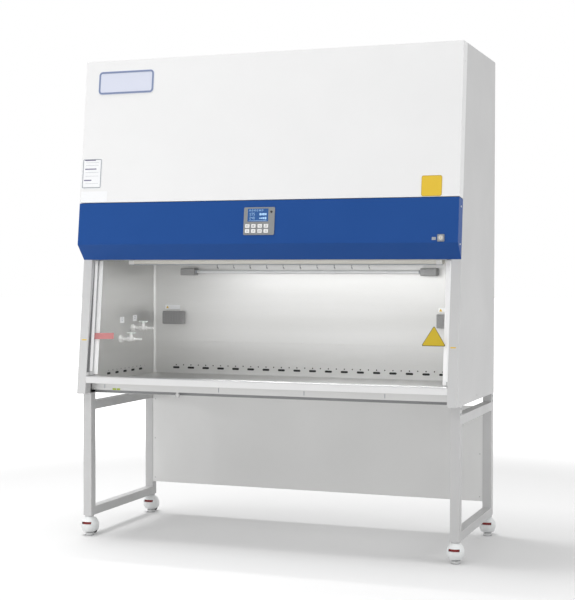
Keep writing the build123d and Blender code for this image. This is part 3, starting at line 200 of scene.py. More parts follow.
looks = {
    # powder-coated steel, baked polyester: a very fine orange peel, drawn at 2 mm so that it shows
    "powderCoatWhite": {"colour": "#f0f0f0", "shade": "#ebebeb", "roughness": (0.42, 0.5),
        "grainMm": 2.0, "bump": 0.06},
    # the same white coat made darker: painted shade for the side panels, the rear panel and the posts
    "powderCoatSidePaintedShade": {"colour": "#cccccc", "shade": "#c6c6c6", "roughness": (0.42, 0.5),
        "grainMm": 2.0, "bump": 0.06},
    "powderCoatBlue": {"colour": "#244f93", "shade": "#204a8c", "roughness": (0.42, 0.5),
        "grainMm": 2.0, "bump": 0.06, "specular": 0.15},
    "powderCoatStand": {"colour": "#c8c8c8", "shade": "#c0c0c0", "roughness": (0.4, 0.5),
        "grainMm": 2.0, "bump": 0.08},
    # a lighter copy of the stand's coat for its rear panel: painted light against the shade under the casing
    "powderCoatPanelPaintedLight": {"colour": "#e8e8e7", "shade": "#e2e2e1", "roughness": (0.42, 0.5),
        "grainMm": 2.0, "bump": 0.08},
    # brushed 304 stainless, 4B: grain runs along the sheet, drawn 1.5 mm apart
    "brushedStainless": {"colour": "#dededd", "shade": "#cacac8", "roughness": (0.36, 0.5),
        "metallic": 1.0, "anisotropic": 0.4, "grainMm": 1.5, "stretch": (0.03, 1, 1),
        "streak": 0.05, "bump": 0.05, "driftMm": 120, "driftStretch": (0.08, 0.08, 1)},
    "brushedTray": {"colour": "#c4c4c3", "shade": "#b6b6b5", "roughness": (0.3, 0.42),
        "metallic": 1.0, "anisotropic": 0.4, "grainMm": 1.5, "stretch": (0.03, 1, 1),
        "streak": 0.06, "bump": 0.05},
    # bead-blasted stainless: even and silky
    # a darker copy for the drain pan: painted shade on its front below the sill
    "panStainlessPaintedShade": {"colour": "#cacac9", "shade": "#c0c0bf", "roughness": (0.4, 0.5),
        "metallic": 1.0, "grainMm": 0.9, "bump": 0.05},
    "satinStainless": {"colour": "#d8d8d8", "shade": "#d0d0d0", "roughness": (0.36, 0.44),
        "metallic": 1.0, "grainMm": 0.9, "bump": 0.05},
    "drawnSteel": {"colour": "#a9aaac", "shade": "#9b9c9e", "roughness": (0.25, 0.35),
        "metallic": 1.0, "grainMm": 0.8, "stretch": (0.1, 1, 1), "bump": 0.05},
    # hot-dip galvanised sheet: spangle about 12 mm across
    "galvanisedSheet": {"colour": "#b4b8ba", "shade": "#989ca0", "roughness": (0.35, 0.55),
        "metallic": 1.0, "grainMm": 12.0, "grainDetail": 1.0, "bump": 0.04, "driftMm": 14},
    "filterPaper": {"colour": "#eeede6", "shade": "#e4e3da", "roughness": (0.85, 0.95),
        "grainMm": 3.0, "stretch": (1, 0.1, 1), "bump": 0.3},
    "anodisedAluminium": {"colour": "#bfc1c3", "shade": "#b3b5b8", "roughness": (0.35, 0.45),
        "metallic": 1.0, "grainMm": 0.7, "stretch": (0.1, 1, 1), "bump": 0.05},
    # moulded ABS: spark-eroded grain about 0.8 mm
    "absGrey": {"colour": "#8d8f90", "shade": "#848687", "roughness": (0.4, 0.5), "grainMm": 0.8,
        "bump": 0.12},
    "absDark": {"colour": "#a4a4a4", "shade": "#9a9a9a", "roughness": (0.42, 0.52), "grainMm": 0.8,
        "bump": 0.14, "specular": 0.3},
    "absSocket": {"colour": "#8f8f8f", "shade": "#868686", "roughness": (0.42, 0.52),
        "grainMm": 0.8, "bump": 0.14, "specular": 0.3},
    "absKey": {"colour": "#f4f4f3", "shade": "#ecebea", "roughness": (0.32, 0.4), "grainMm": 0.8,
        "bump": 0.08},
    "absBlack": {"colour": "#232425", "shade": "#1c1d1e", "roughness": (0.4, 0.5), "grainMm": 0.8,
        "bump": 0.12},
    "pvcGuide": {"colour": "#d2d3d3", "shade": "#c8c9c9", "roughness": (0.4, 0.5), "grainMm": 1.0,
        "stretch": (1, 1, 0.05), "bump": 0.05},
    "nylonWhite": {"colour": "#eef0f0", "shade": "#e4e6e6", "roughness": (0.28, 0.36),
        "grainMm": 1.2, "bump": 0.06, "coat": 0.3},
    "nylonTread": {"colour": "#26272a", "shade": "#1b1c1e", "roughness": (0.4, 0.55),
        "grainMm": 1.0, "bump": 0.1},
    "nylonRed": {"colour": "#8e1c1c", "shade": "#7a1616", "roughness": (0.32, 0.42), "grainMm": 1.0,
        "bump": 0.08},
    # thin hook wire, dull drawn steel
    "hookWire": {"colour": "#77797b", "shade": "#6a6c6e", "roughness": (0.3, 0.4), "metallic": 1.0,
        "grainMm": 0.8, "bump": 0.02},
    "castPad": {"colour": "#dfe0e0", "shade": "#d3d4d4", "roughness": (0.35, 0.45), "grainMm": 1.2,
        "bump": 0.08},
    "zincPlate": {"colour": "#b9bbbc", "shade": "#a8aaab", "roughness": (0.25, 0.38),
        "metallic": 1.0, "grainMm": 1.2, "bump": 0.06},
    "toothedRubber": {"colour": "#2a2a2a", "shade": "#222222", "roughness": (0.6, 0.75),
        "grainMm": 5.0, "stretch": (0.02, 1, 1), "bump": 0.5},
    "soleRubber": {"colour": "#b4b5b5", "shade": "#a9aaaa", "roughness": (0.65, 0.8),
        "grainMm": 1.5, "bump": 0.25},
    "liquidCrystal": {"colour": "#1c5290", "shade": "#184b86", "roughness": (0.2, 0.28),
        "grainMm": 0.6, "bump": 0.0, "coat": 0.1, "glow": 0.15},
    "crystalMark": {"colour": "#a9cdee", "shade": "#9cc3e8", "roughness": (0.2, 0.3),
        "grainMm": 0.6, "bump": 0.0, "glow": 0.3},
    "diffuserCream": {"colour": "#dbd9d2", "shade": "#d5d2ca", "roughness": (0.45, 0.55),
        "grainMm": 1.5, "bump": 0.03, "glow": 0.08},
    "polishedNickel": {"colour": "#d6d3cc", "shade": "#cac7c0", "roughness": (0.12, 0.2),
        "metallic": 1.0, "grainMm": 0.6, "bump": 0.02},
    "tapEnamel": {"colour": "#f2f2f0", "shade": "#e8e8e6", "roughness": (0.22, 0.3), "grainMm": 1.5,
        "bump": 0.04, "coat": 0.5, "coatRoughness": 0.08},
    "tapLever": {"colour": "#e6ece8", "shade": "#dbe2dd", "roughness": (0.2, 0.28), "grainMm": 1.5,
        "bump": 0.03, "coat": 0.4},
    # quartz tube seen against its own haze: a dull grey white with a hard gloss
    "frostedQuartz": {"colour": "#e8eaeb", "shade": "#dedfe1", "roughness": (0.2, 0.3),
        "grainMm": 6.0, "bump": 0.02, "coat": 0.6, "coatRoughness": 0.05},
    # printed vinyl films
    "vinylYellow": {"colour": "#e6c238", "shade": "#dfba30", "roughness": (0.3, 0.38),
        "grainMm": 1.2, "bump": 0.03},
    "vinylMustard": {"colour": "#d6b92c", "shade": "#cdb026", "roughness": (0.3, 0.38),
        "grainMm": 1.2, "bump": 0.03},
    "vinylUmber": {"colour": "#57501f", "shade": "#4d461a", "roughness": (0.3, 0.38),
        "grainMm": 1.2, "bump": 0.03},
    "vinylAmber": {"colour": "#b89a10", "shade": "#a98d0c", "roughness": (0.3, 0.38),
        "grainMm": 1.2, "bump": 0.03},
    "vinylRed": {"colour": "#cb8888", "shade": "#c17d7d", "roughness": (0.3, 0.38), "grainMm": 1.2,
        "bump": 0.03},
    "vinylWhite": {"colour": "#f6f7f8", "shade": "#f0f1f3", "roughness": (0.3, 0.4), "grainMm": 1.2,
        "bump": 0.03},
    "vinylLavender": {"colour": "#dce0ee", "shade": "#d5d9e8", "roughness": (0.3, 0.4),
        "grainMm": 1.2, "bump": 0.03},
    "vinylSlate": {"colour": "#8390b0", "shade": "#7986a6", "roughness": (0.3, 0.4), "grainMm": 1.2,
        "bump": 0.03},
    "vinylPlum": {"colour": "#6d6889", "shade": "#645f80", "roughness": (0.3, 0.4), "grainMm": 1.2,
        "bump": 0.03},
    "vinylGrey": {"colour": "#a4a8ae", "shade": "#989ca3", "roughness": (0.3, 0.4), "grainMm": 1.2,
        "bump": 0.03},
    "vinylMoss": {"colour": "#9fb23a", "shade": "#93a632", "roughness": (0.3, 0.4), "grainMm": 1.2,
        "bump": 0.03},
    "inkGrey": {"colour": "#7d8288", "shade": "#72777d", "roughness": (0.5, 0.6), "grainMm": 0.8,
        "bump": 0.0},
    # white of the opening trims, with a glow that is painted light
    "trimWhitePaintedGlow": {"colour": "#fbfbfb", "shade": "#f6f6f6", "roughness": (0.42, 0.5), "grainMm": 2.0,
        "bump": 0.05, "glow": 0.12},
    # mid-grey of the painted shade up the post folds
    "foldShadeGrey": {"colour": "#6f7072", "shade": "#676869", "roughness": (0.6, 0.7),
        "grainMm": 2.0, "bump": 0.1},
    # mid-grey of the painted shade on the sump's front wall
    "sumpShadeGrey": {"colour": "#8e8f90", "shade": "#858687", "roughness": (0.6, 0.7), "grainMm": 2.5,
        "bump": 0.1},
    "shadowGap": {"colour": "#202224", "shade": "#1a1b1d", "roughness": (0.6, 0.7), "grainMm": 2.0,
        "bump": 0.05},
}
materials = {name: surface(name, look) for name, look in looks.items()}
materials["sashGlass"] = filmTint("sashGlass", "#ffffff")
print("materials made:", len(materials))

nodeLooks = {
    "side_panels": "powderCoatSidePaintedShade", "rear_panel": "powderCoatSidePaintedShade", "top_panel": "powderCoatWhite",
    "upper_front_cover": "powderCoatWhite", "blue_front_panel": "powderCoatBlue",
    "stand_side_frames": "powderCoatStand", "stand_rear_panel": "powderCoatPanelPaintedLight",
    "chamber_liner": "brushedStainless", "work_tray": "brushedTray", "air_diffuser": "brushedStainless",
    "drain_pan": "panStainlessPaintedShade", "front_grille": "satinStainless", "pressure_plenum": "galvanisedSheet",
    "blower_housing": "galvanisedSheet", "sash_gearmotor": "drawnSteel", "blower_impeller": "galvanisedSheet",
    "ulpa_filters": "filterPaper", "sash_glass": "sashGlass", "sash_clamps": "anodisedAluminium",
    "sash_guides": "pvcGuide",
    "sash_drive_shaft": "drawnSteel", "sash_belts": "toothedRubber", "control_bezels": "absGrey",
    "display_screen": "liquidCrystal", "key_switch": "polishedNickel", "lamp_holders": "absDark",
    "socket_boxes": "absSocket", "socket_lid_left": "absSocket", "socket_lid_right": "absSocket",
    "uv_tube": "frostedQuartz", "light_bar": "diffuserCream",
    "hanging_rail": "hookWire", "tap_bodies": "tapEnamel", "tap_lever_1": "tapLever", "tap_lever_2": "tapLever",
    "power_inlet": "absBlack",
}
for number in range(1, 9):
    nodeLooks[f"key_{number}"] = "absKey"
for corner in ("fl", "fr", "rl", "rr"):
    nodeLooks[f"castor_{corner}_housing"] = "nylonWhite"
    nodeLooks[f"castor_{corner}_wheel"] = "nylonTread"
    nodeLooks[f"castor_{corner}_thumbwheel"] = "nylonRed"
    nodeLooks[f"castor_{corner}_pad"] = "castPad"
for nodeName, node in nodes.items():
    node.data.materials.clear()
    node.data.materials.append(materials[nodeLooks[nodeName]])
print("frame nodes dressed:", len(nodes))


def roundedOutline(width, height, radius, steps):
    outline = []
    for cx, cy, start in ((1, 1, 0), (-1, 1, 90), (-1, -1, 180), (1, -1, 270)):
        for i in range(steps + 1):
            angle = math.radians(start + 90 * i / steps)
            outline.append((cx * (width / 2 - radius) + radius * math.cos(angle),
                            cy * (height / 2 - radius) + radius * math.sin(angle)))
    return outline


def addPlate(mesh, spot, width, height, thickness, radius, edge=0.0, steps=5):
    # rounded plate on local Z = 0, with a small chamfer round its front, all in millimetres
    outline = roundedOutline(width, height, radius, steps)
    levels = [(0.0, 0.0), (thickness, 0.0)]
    if edge:
        levels = [(0.0, 0.0), (thickness - edge, 0.0), (thickness, edge)]
    rings = []
    for z, inset in levels:
        ring = []
        for x, y in outline:
            shrunk = (x * (1 - 2 * inset / width), y * (1 - 2 * inset / height), z)
            ring.append(mesh.verts.new(spot @ (Vector(shrunk) / 1000)))
        rings.append(ring)
    count = len(outline)
    for lower, upper in zip(rings, rings[1:]):
        for i in range(count):
            mesh.faces.new((lower[i], lower[(i + 1) % count], upper[(i + 1) % count], upper[i]))
    mesh.faces.new(rings[-1])
    mesh.faces.new(list(reversed(rings[0])))


def addTurned(mesh, spot, profile, segments=24):
    # a profile of (radius, height) in millimetres, turned about local Z; closed where the radius is 0
    rings = []
    for radius, height in profile:
        if radius == 0:
            rings.append([mesh.verts.new(spot @ Vector((0, 0, height / 1000)))])
            continue
        angles = [2 * math.pi * i / segments for i in range(segments)]
        points = [Vector((radius * math.cos(a), radius * math.sin(a), height)) / 1000 for a in angles]
        rings.append([mesh.verts.new(spot @ point) for point in points])
    for lower, upper in zip(rings, rings[1:]):
        for i in range(segments):
            j = (i + 1) % segments
            if len(lower) == 1:
                mesh.faces.new((lower[0], upper[j], upper[i]))
            elif len(upper) == 1:
                mesh.faces.new((lower[i], lower[j], upper[0]))
            else:
                mesh.faces.new((lower[i], lower[j], upper[j], upper[i]))


def addOutline(mesh, spot, points, thickness):
    # a flat polygon, in millimetres, with a thickness
    lower = [mesh.verts.new(spot @ (Vector((x, y, 0)) / 1000)) for x, y in points]
    upper = [mesh.verts.new(spot @ (Vector((x, y, thickness)) / 1000)) for x, y in points]
    count = len(points)
    for i in range(count):
        j = (i + 1) % count
        mesh.faces.new((lower[i], lower[j], upper[j], upper[i]))
    mesh.faces.new(upper)
    mesh.faces.new(list(reversed(lower)))


def addFrame(mesh, spot, width, height, rim, thickness, radius, steps=5):
    # a flat rounded frame: outer size, rim width and thickness, in millimetres
    def ring(inset, r, z):
        outline = roundedOutline(width - 2 * inset, height - 2 * inset, r, steps)
        return [mesh.verts.new(spot @ (Vector((x, y, z)) / 1000)) for x, y in outline]

    inner = max(radius - rim, 0.3)
    rings = [ring(0, radius, 0), ring(0, radius, thickness), ring(rim, inner, thickness), ring(rim, inner, 0)]
    count = len(rings[0])
    for first, second in ((0, 1), (1, 2), (2, 3), (3, 0)):
        for i in range(count):
            j = (i + 1) % count
            mesh.faces.new((rings[first][i], rings[first][j], rings[second][j], rings[second][i]))


def finishPiece(name, mesh, look, body="root", sharp=35):
    # closes the mesh, shades it, gives it its material and lets it ride on a body
    bmesh.ops.recalc_face_normals(mesh, faces=mesh.faces)
    data = bpy.data.meshes.new(name)
    mesh.to_mesh(data)
    mesh.free()
    data.shade_smooth()
    data.set_sharp_from_angle(angle=math.radians(sharp))
    data.materials.append(materials[look])
    piece = bpy.data.objects.new(name, data)
    bpy.context.scene.collection.objects.link(piece)
    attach(piece, body)
    return piece


def addPanHead(mesh, spot, radius, height):
    # pan-head screw with a cross on it, in millimetres
    addTurned(mesh, spot, [(radius, 0), (radius, height * 0.45), (radius * 0.86, height * 0.8),
                           (radius * 0.5, height), (0, height)], 16)
    for turn in (0, math.pi / 2):
        arm = spot @ shift(z=height) @ Matrix.Rotation(turn, 4, "Z")
        addPlate(mesh, arm, radius * 1.1, radius * 0.26, mark, 0.1, steps=1)


# blank name plate, blank data label, and the plain patch under it, on the white cover
coverFilms = {
    "namePlate": {"x": -709.5, "z": 2177.5, "width": 293, "height": 113, "radius": 20, "rim": 8.5},
    "dataLabel": {"x": -867.5, "z": 1742.5, "width": 105, "height": 145, "radius": 8, "rim": 4.4},
    "palePatch": {"x": -850, "z": 1631, "width": 140, "height": 52, "radius": 4},
    "yellowFilm": {"x": 801, "z": 1650.5, "width": 92, "height": 91, "radius": 9, "rim": 1.6},
}
plateSpec = coverFilms["namePlate"]
spot = onCover(plateSpec["x"], plateSpec["z"])
mesh = bmesh.new()
addPlate(mesh, spot, plateSpec["width"], plateSpec["height"], film * 2, plateSpec["radius"], 0.3)
finishPiece("namePlate", mesh, "vinylLavender")
mesh = bmesh.new()
addFrame(mesh, spot @ shift(z=film * 2), plateSpec["width"] - 4, plateSpec["height"] - 4,
         plateSpec["rim"], 0.8, plateSpec["radius"] - 2)
finishPiece("namePlateBorder", mesh, "vinylSlate")
labelSpec = coverFilms["dataLabel"]
spot = onCover(labelSpec["x"], labelSpec["z"])
mesh = bmesh.new()
addPlate(mesh, spot, labelSpec["width"], labelSpec["height"], film, labelSpec["radius"])
finishPiece("dataLabel", mesh, "vinylWhite")
mesh = bmesh.new()
above = spot @ shift(z=film)
addFrame(mesh, above, labelSpec["width"] - 5, labelSpec["height"] - 5, labelSpec["rim"], ink,
         labelSpec["radius"] - 1.5)
for z in (53, 40, 6, -12, -48):
    addPlate(mesh, above @ shift(y=z), labelSpec["width"] - 36, 1.1, ink, 0.4, steps=2)
finishPiece("dataLabelRim", mesh, "vinylGrey")
mesh = bmesh.new()
for x, z, width in ((-11, 65, 58), (-7.5, 22, 61), (-21, -32, 40)):
    addPlate(mesh, above @ shift(x, z), width, 5.0, ink, 1.0, steps=2)
finishPiece("dataLabelBars", mesh, "vinylPlum")
patchSpec = coverFilms["palePatch"]
mesh = bmesh.new()
addPlate(mesh, onCover(patchSpec["x"], patchSpec["z"]), patchSpec["width"], patchSpec["height"], film,
         patchSpec["radius"])
finishPiece("palePatch", mesh, "vinylWhite")
yellowSpec = coverFilms["yellowFilm"]
spot = onCover(yellowSpec["x"], yellowSpec["z"])
mesh = bmesh.new()
addPlate(mesh, spot, yellowSpec["width"], yellowSpec["height"], film, yellowSpec["radius"])
finishPiece("yellowFilm", mesh, "vinylYellow")
mesh = bmesh.new()
addFrame(mesh, spot @ shift(z=film), yellowSpec["width"] - 1, yellowSpec["height"] - 1,
         yellowSpec["rim"], ink, yellowSpec["radius"] - 0.5)
finishPiece("yellowFilmRim", mesh, "vinylAmber")
print("cover films made")

# display: icon row, two rows of figures, and a cursor line, all raised by a hair
bezel = {"x": 2.5, "z": 1505.0, "width": 150.0, "height": 127.0}
bezelSpot = onCover(bezel["x"], bezel["z"])
screenProud, keyProud = 3.5, 5.1        # faces of the screen and of the keys


def onBezel(left, top, proud):
    # left and top run from the bezel's upper left corner
    return bezelSpot @ shift(left - bezel["width"] / 2, bezel["height"] / 2 - top, proud)


# which of its seven bars a figure shows: top, right top, right bottom, bottom, left bottom, left top, middle
segments = {0: (0, 1, 2, 3, 4, 5), 3: (0, 1, 6, 2, 3), 4: (5, 6, 1, 2), 5: (0, 5, 6, 2, 3)}


def addFigure(mesh, spot, figure, height):
    wide, bar = height * 0.5, height * 0.11
    bars = [(0, height / 2, 0), (wide / 2, height / 4, 1), (wide / 2, -height / 4, 1), (0, -height / 2, 0),
            (-wide / 2, -height / 4, 1), (-wide / 2, height / 4, 1), (0, 0, 0)]
    for index in segments[figure]:
        x, y, upright = bars[index]
        size = (bar, height / 2 - bar) if upright else (wide - bar, bar)
        addPlate(mesh, spot @ shift(x, y), *size, mark, bar * 0.3, steps=1)


display = {"left": 18.0, "drop": 5.5, "width": 102.0, "height": 61.0}


def onScreen(left, top):
    return onBezel(display["left"] + left, display["drop"] + top, screenProud)


mesh = bmesh.new()
for i in range(6):
    addFrame(mesh, onScreen(12 + i * 12, 9), 7, 7, 1.1, mark, 1.4, 2)
for top, figures in ((26, (0, 3, 5)), (44, (0, 4, 0))):
    for i, figure in enumerate(figures):
        addFigure(mesh, onScreen(14 + i * 9, top), figure, 11)
for i in range(4):
    addPlate(mesh, onScreen(62 + i * 9, 27), 7, 11 - 1.5 * (i % 2), mark, 0.5, steps=1)
    addPlate(mesh, onScreen(62 + i * 9, 45), 7, 5 + 2 * i, mark, 0.5, steps=1)
addPlate(mesh, onScreen(display["width"] / 2, 56), 88, 1.2, mark, 0.4, steps=1)
finishPiece("displayMarks", mesh, "crystalMark")
mesh = bmesh.new()
addFrame(mesh, onScreen(display["width"] / 2, display["height"] / 2), 104.4, 63.4, 1.6, film, 2.6)
finishPiece("displayGasket", mesh, "absDark")
mesh = bmesh.new()
addTurned(mesh, onBezel(133.5, 21.5, 2.5), [(5.3, 0), (5.3, 0.5), (4.4, 1.0), (2.2, 1.4), (0, 1.5)], 20)
finishPiece("lightSensor", mesh, "absBlack")

# generic marks on the eight keys, one per body: strokes of polylines, in millimetres about each key's centre
def circle(radius, count=20, start=0.0, end=360.0):
    return [(radius * math.cos(math.radians(start + (end - start) * i / count)),
             radius * math.sin(math.radians(start + (end - start) * i / count))) for i in range(count + 1)]


lampRays = [[(3.6 * math.cos(a), 3.6 * math.sin(a)), (5.2 * math.cos(a), 5.2 * math.sin(a))]
            for a in [i * math.pi / 4 for i in range(8)]]
keyMarks = [
    # on and off, lamp, air, socket
    [circle(4.2, 18, 120, 420), [(0, 1.5), (0, 5.2)]],
    [circle(2.6)] + lampRays,
    [[(-6, 2), (-3, 3.4), (0, 2), (3, 0.6), (6, 2)], [(-6, -2), (-3, -0.6), (0, -2), (3, -3.4), (6, -2)]],
    [circle(4.6), [(-1.8, -1), (-1.8, 1)], [(1.8, -1), (1.8, 1)]],
    # up, down, pane, bell
    [[(-4, -2), (0, 3), (4, -2), (-4, -2)]],
    [[(-4, 2), (0, -3), (4, 2), (-4, 2)]],
    [[(-5, -3), (-5, 3), (5, 3), (5, -3), (-5, -3)], [(-5, 0), (5, 0)]],
    [[(-4, -3), (-4, 0), (-2, 3), (2, 3), (4, 0), (4, -3), (-4, -3)]],
]
keyColumns, keyRows = (19.6, 49.4, 80.2, 110.6), (86.0, 109.0)


def addStroke(mesh, spot, points, width, thickness):
    # a flat line with square ends that follows the points
    for (x0, y0), (x1, y1) in zip(points, points[1:]):
        length = math.hypot(x1 - x0, y1 - y0)
        turn = Matrix.Rotation(math.atan2(y1 - y0, x1 - x0), 4, "Z")
        middle = shift((x0 + x1) / 2, (y0 + y1) / 2)
        addPlate(mesh, spot @ middle @ turn, length + width * 0.6, width, thickness, width * 0.2, steps=1)


for number, strokes in enumerate(keyMarks):
    mesh = bmesh.new()
    spot = onBezel(keyColumns[number % 4], keyRows[number // 4], keyProud)
    for stroke in strokes:
        addStroke(mesh, spot, stroke, 0.9, 0.06)
    finishPiece(f"keyMark{number + 1}", mesh, "inkGrey", f"keypad_{number + 1}")
print("display and key marks made")

# key switch: printed ring on its plate, and a small film beside it
lock = {"x": 849.0, "z": 1423.0, "plate": 3.0}
mesh = bmesh.new()
spot = onCover(lock["x"], lock["z"], lock["plate"])
addTurned(mesh, spot, [(13.4, 0), (13.4, 0.9), (12.8, 1.3), (10.6, 1.3), (10.0, 0.9), (10.0, 0)], 36)
finishPiece("keySwitchRing", mesh, "vinylGrey")
mesh = bmesh.new()
addPlate(mesh, onCover(818, 1420.5), 18, 13, film, 1.5)
finishPiece("mossFilm", mesh, "vinylGrey")

# screws that hold the folded fronts at their side returns, and the rear and side screws
mesh = bmesh.new()
for side, turn in ((1, "+x"), (-1, "-x")):
    for z in (1396, 1560, 1660, 1900, 2200):
        y = 1000 * ((z / 1000 - baseZ) * leanSin / leanCos) - 34
        addPanHead(mesh, place(side * casingHalf, y, z, facing(turn)), 4.2, 2.0)
finishPiece("coverScrews", mesh, "powderCoatWhite")
mesh = bmesh.new()
for x in range(-880, 881, 220):
    for z in (716, 2262):
        addPanHead(mesh, place(x, casingDepth, z, facing("+y")), 4.0, 1.9)
for z in range(900, 2200, 260):
    for side in (-1, 1):
        addPanHead(mesh, place(side * (casingHalf - 20), casingDepth, z, facing("+y")), 4.0, 1.9)
finishPiece("rearScrews", mesh, "zincPlate")
mesh = bmesh.new()
for side, turn in ((1, "+x"), (-1, "-x")):
    for y in (60, 400, 740):
        addPanHead(mesh, place(side * casingHalf, y, 712, facing(turn)), 3.6, 1.7)
finishPiece("sideScrews", mesh, "powderCoatSidePaintedShade")

# height marks on both posts at the working height
mesh = bmesh.new()
for side in (-1, 1):
    addOutline(mesh, onFront(side * 901, 948, 0.02), [(-12, -2.6), (12, -2.6), (12, 2.6), (-12, 2.6)], paneFilm)
finishPiece("heightMarks", mesh, "vinylYellow")

# films on the pane, riding with it: a yellow triangle and a red strip, both blank
glassFront = 36.0
mesh = bmesh.new()
spot = onFront(804.5, 995.5, -glassFront)
tips = [(-55.5, -45), (55.5, -45), (0, 45)]
outline = []
for i, (x, y) in enumerate(tips):
    for towards in (tips[i - 1], tips[(i + 1) % 3]):
        outline.append((x + (towards[0] - x) * 0.05, y + (towards[1] - y) * 0.05))
addOutline(mesh, spot, outline, paneFilm)
finishPiece("paneTriangle", mesh, "vinylMustard", "sash")
mesh = bmesh.new()
inset = [(x * 0.93, y * 0.93 - 0.5) for x, y in outline]
levels = [(outline, paneFilm), (inset, paneFilm), (outline, paneFilm + ink), (inset, paneFilm + ink)]
rings = [[mesh.verts.new(spot @ (Vector((x, y, z)) / 1000)) for x, y in line] for line, z in levels]
for first, second in ((0, 2), (2, 3), (3, 1), (1, 0)):
    for i in range(len(outline)):
        j = (i + 1) % len(outline)
        mesh.faces.new((rings[first][i], rings[first][j], rings[second][j], rings[second][i]))
finishPiece("paneTriangleRim", mesh, "vinylUmber", "sash")
mesh = bmesh.new()
spot = onFront(-818, 966, -glassFront) @ Matrix.Rotation(math.radians(1.5), 4, "Z")
addPlate(mesh, spot, 110, 29, paneFilm, 2)
finishPiece("paneStrip", mesh, "vinylRed", "sash")
print("films on posts and pane made")

# chamber: label strips over the sockets, tap labels, tube caps, lamp end caps
chamberBack, chamberHalf = 680.0, 850.0
mesh, marks = bmesh.new(), bmesh.new()
for x in (-741, 715):
    addPlate(mesh, place(x, chamberBack, 1091.5, facing("-y")), 84, 22, 0.3, 2)
    addOutline(marks, place(x - 30, chamberBack - 0.3, 1091.5, facing("-y")), [(-8, -7), (8, -7), (0, 7)], 0.1)
finishPiece("socketLabels", mesh, "vinylWhite")
finishPiece("socketLabelMarks", marks, "vinylYellow")
mesh, marks = bmesh.new(), bmesh.new()
for y, z in ((323, 1034), (462, 1039)):
    addPlate(mesh, place(-chamberHalf, y, z, facing("+x")), 44, 30, 0.3, 3)
    addTurned(marks, place(-chamberHalf + 0.3, y, z + 4, facing("+x")),
              [(8, 0), (8, 0.1), (6.2, 0.1), (6.2, 0)], 24)
finishPiece("tapLabels", mesh, "vinylWhite")
finishPiece("tapLabelRings", marks, "vinylGrey")
lamp = {"half": 596.0, "y": 647.0, "z": 1275.0, "holder": 79.0}
mesh = bmesh.new()
for side, turn in ((1, "-x"), (-1, "+x")):
    addTurned(mesh, place(side * (lamp["half"] - 0.2), lamp["y"], lamp["z"], facing(turn)),
              [(8.25, 0), (8.25, 9), (8.6, 9.5), (8.6, 10.5), (8.05, 11), (8.05, 0)], 28)
finishPiece("tubeCaps", mesh, "vinylGrey")
mesh = bmesh.new()
for side in (-1, 1):
    for dx in (-24, 24):
        x = side * (lamp["half"] + lamp["holder"] / 2) + dx
        addPanHead(mesh, place(x, lamp["y"] - 18, lamp["z"] + 8, facing("-y")), 2.6, 1.2)
finishPiece("holderScrews", mesh, "zincPlate")
mesh = bmesh.new()
for side in (-1, 1):
    addPlate(mesh, place(side * 776, 280, 1319.5, facing("-y")), 28, 19, 1.8, 1.5, 0.4)
finishPiece("lampEndCaps", mesh, "absKey")
mesh = bmesh.new()
addPlate(mesh, place(0, 289.5, 1309, facing("-y")), 1578, 4.4, 2.4, 0.4, steps=2)
finishPiece("stripTrim", mesh, "vinylGrey")
# white trims down both sides of the opening, behind the pane and over the guides, with a slight glow of painted
# light, and a dark strip of painted shade that tapers up the fold of each post
mesh, foldShade = bmesh.new(), bmesh.new()
for side in (-1, 1):
    addPlate(mesh, onFront(side * 864, 1055, -50.8), 34, 548, 1.4, 1.0, 0.3, steps=2)
    addPlate(mesh, onFront(side * 873.4, 1062, -31.2), 14.4, 530, 0.7, 0.5, 0.2, steps=2)
    fold = onFront(side * 881, 1055, 0) @ Matrix.Rotation(-side * math.pi / 2, 4, "Y")
    addOutline(foldShade, fold, [(-side * x, y) for x, y in ((3, -262), (30.5, -262), (30.5, 272), (27, 272))], 0.6)
finishPiece("openingTrims", mesh, "trimWhitePaintedGlow")
finishPiece("postFoldShade", foldShade, "foldShadeGrey")
# collars and tips on the hooks
hooks = {"count": 10, "pitch": 87}
collar = [(0, 0), (2.6, 0.6), (3.4, 2.4), (3.4, 5.2), (2.2, 6.8), (0, 7)]
tip = [(0, 0), (2.0, 0.6), (2.9, 2.6), (2.9, 4.4), (1.8, 6.2), (0, 6.6)]
mesh = bmesh.new()
for i in range(hooks["count"]):
    x = (i - (hooks["count"] - 1) / 2) * hooks["pitch"]
    addTurned(mesh, place(x, 453, 1303), collar, 14)
    addTurned(mesh, place(x, 465, 1287.5), tip, 14)
finishPiece("hookBeads", mesh, "absDark")
# unlit return-air space behind the slots, as a dark sheet just behind each wall
mesh = bmesh.new()
addPlate(mesh, place(0, chamberBack + 4.5, 783, facing("-y")), 1500, 40, 0.4, 4, steps=2)
for side, turn in ((-1, "+x"), (1, "-x")):
    addPlate(mesh, place(side * (chamberHalf + 4.5), 355, 783, facing(turn)), 400, 40, 0.4, 4, steps=2)
finishPiece("returnAirShade", mesh, "shadowGap")
# hexagon nuts of the service taps
mesh = bmesh.new()
wallNut = [(0, 0), (17, 0), (17, 9), (15, 10.5), (9, 10.5), (9, 0)]
bodyNut = [(8.2, 0), (13, 0), (13, 7), (11.6, 8), (8.2, 8)]
for y, z in ((305, 940), (436, 990)):
    addTurned(mesh, place(-chamberHalf + 5, y, z, facing("+x")), wallNut, 6)
    addTurned(mesh, place(-chamberHalf + 45, y, z, facing("+x")), bodyNut, 6)
finishPiece("tapNuts", mesh, "tapEnamel", sharp=25)
print("chamber fittings made")

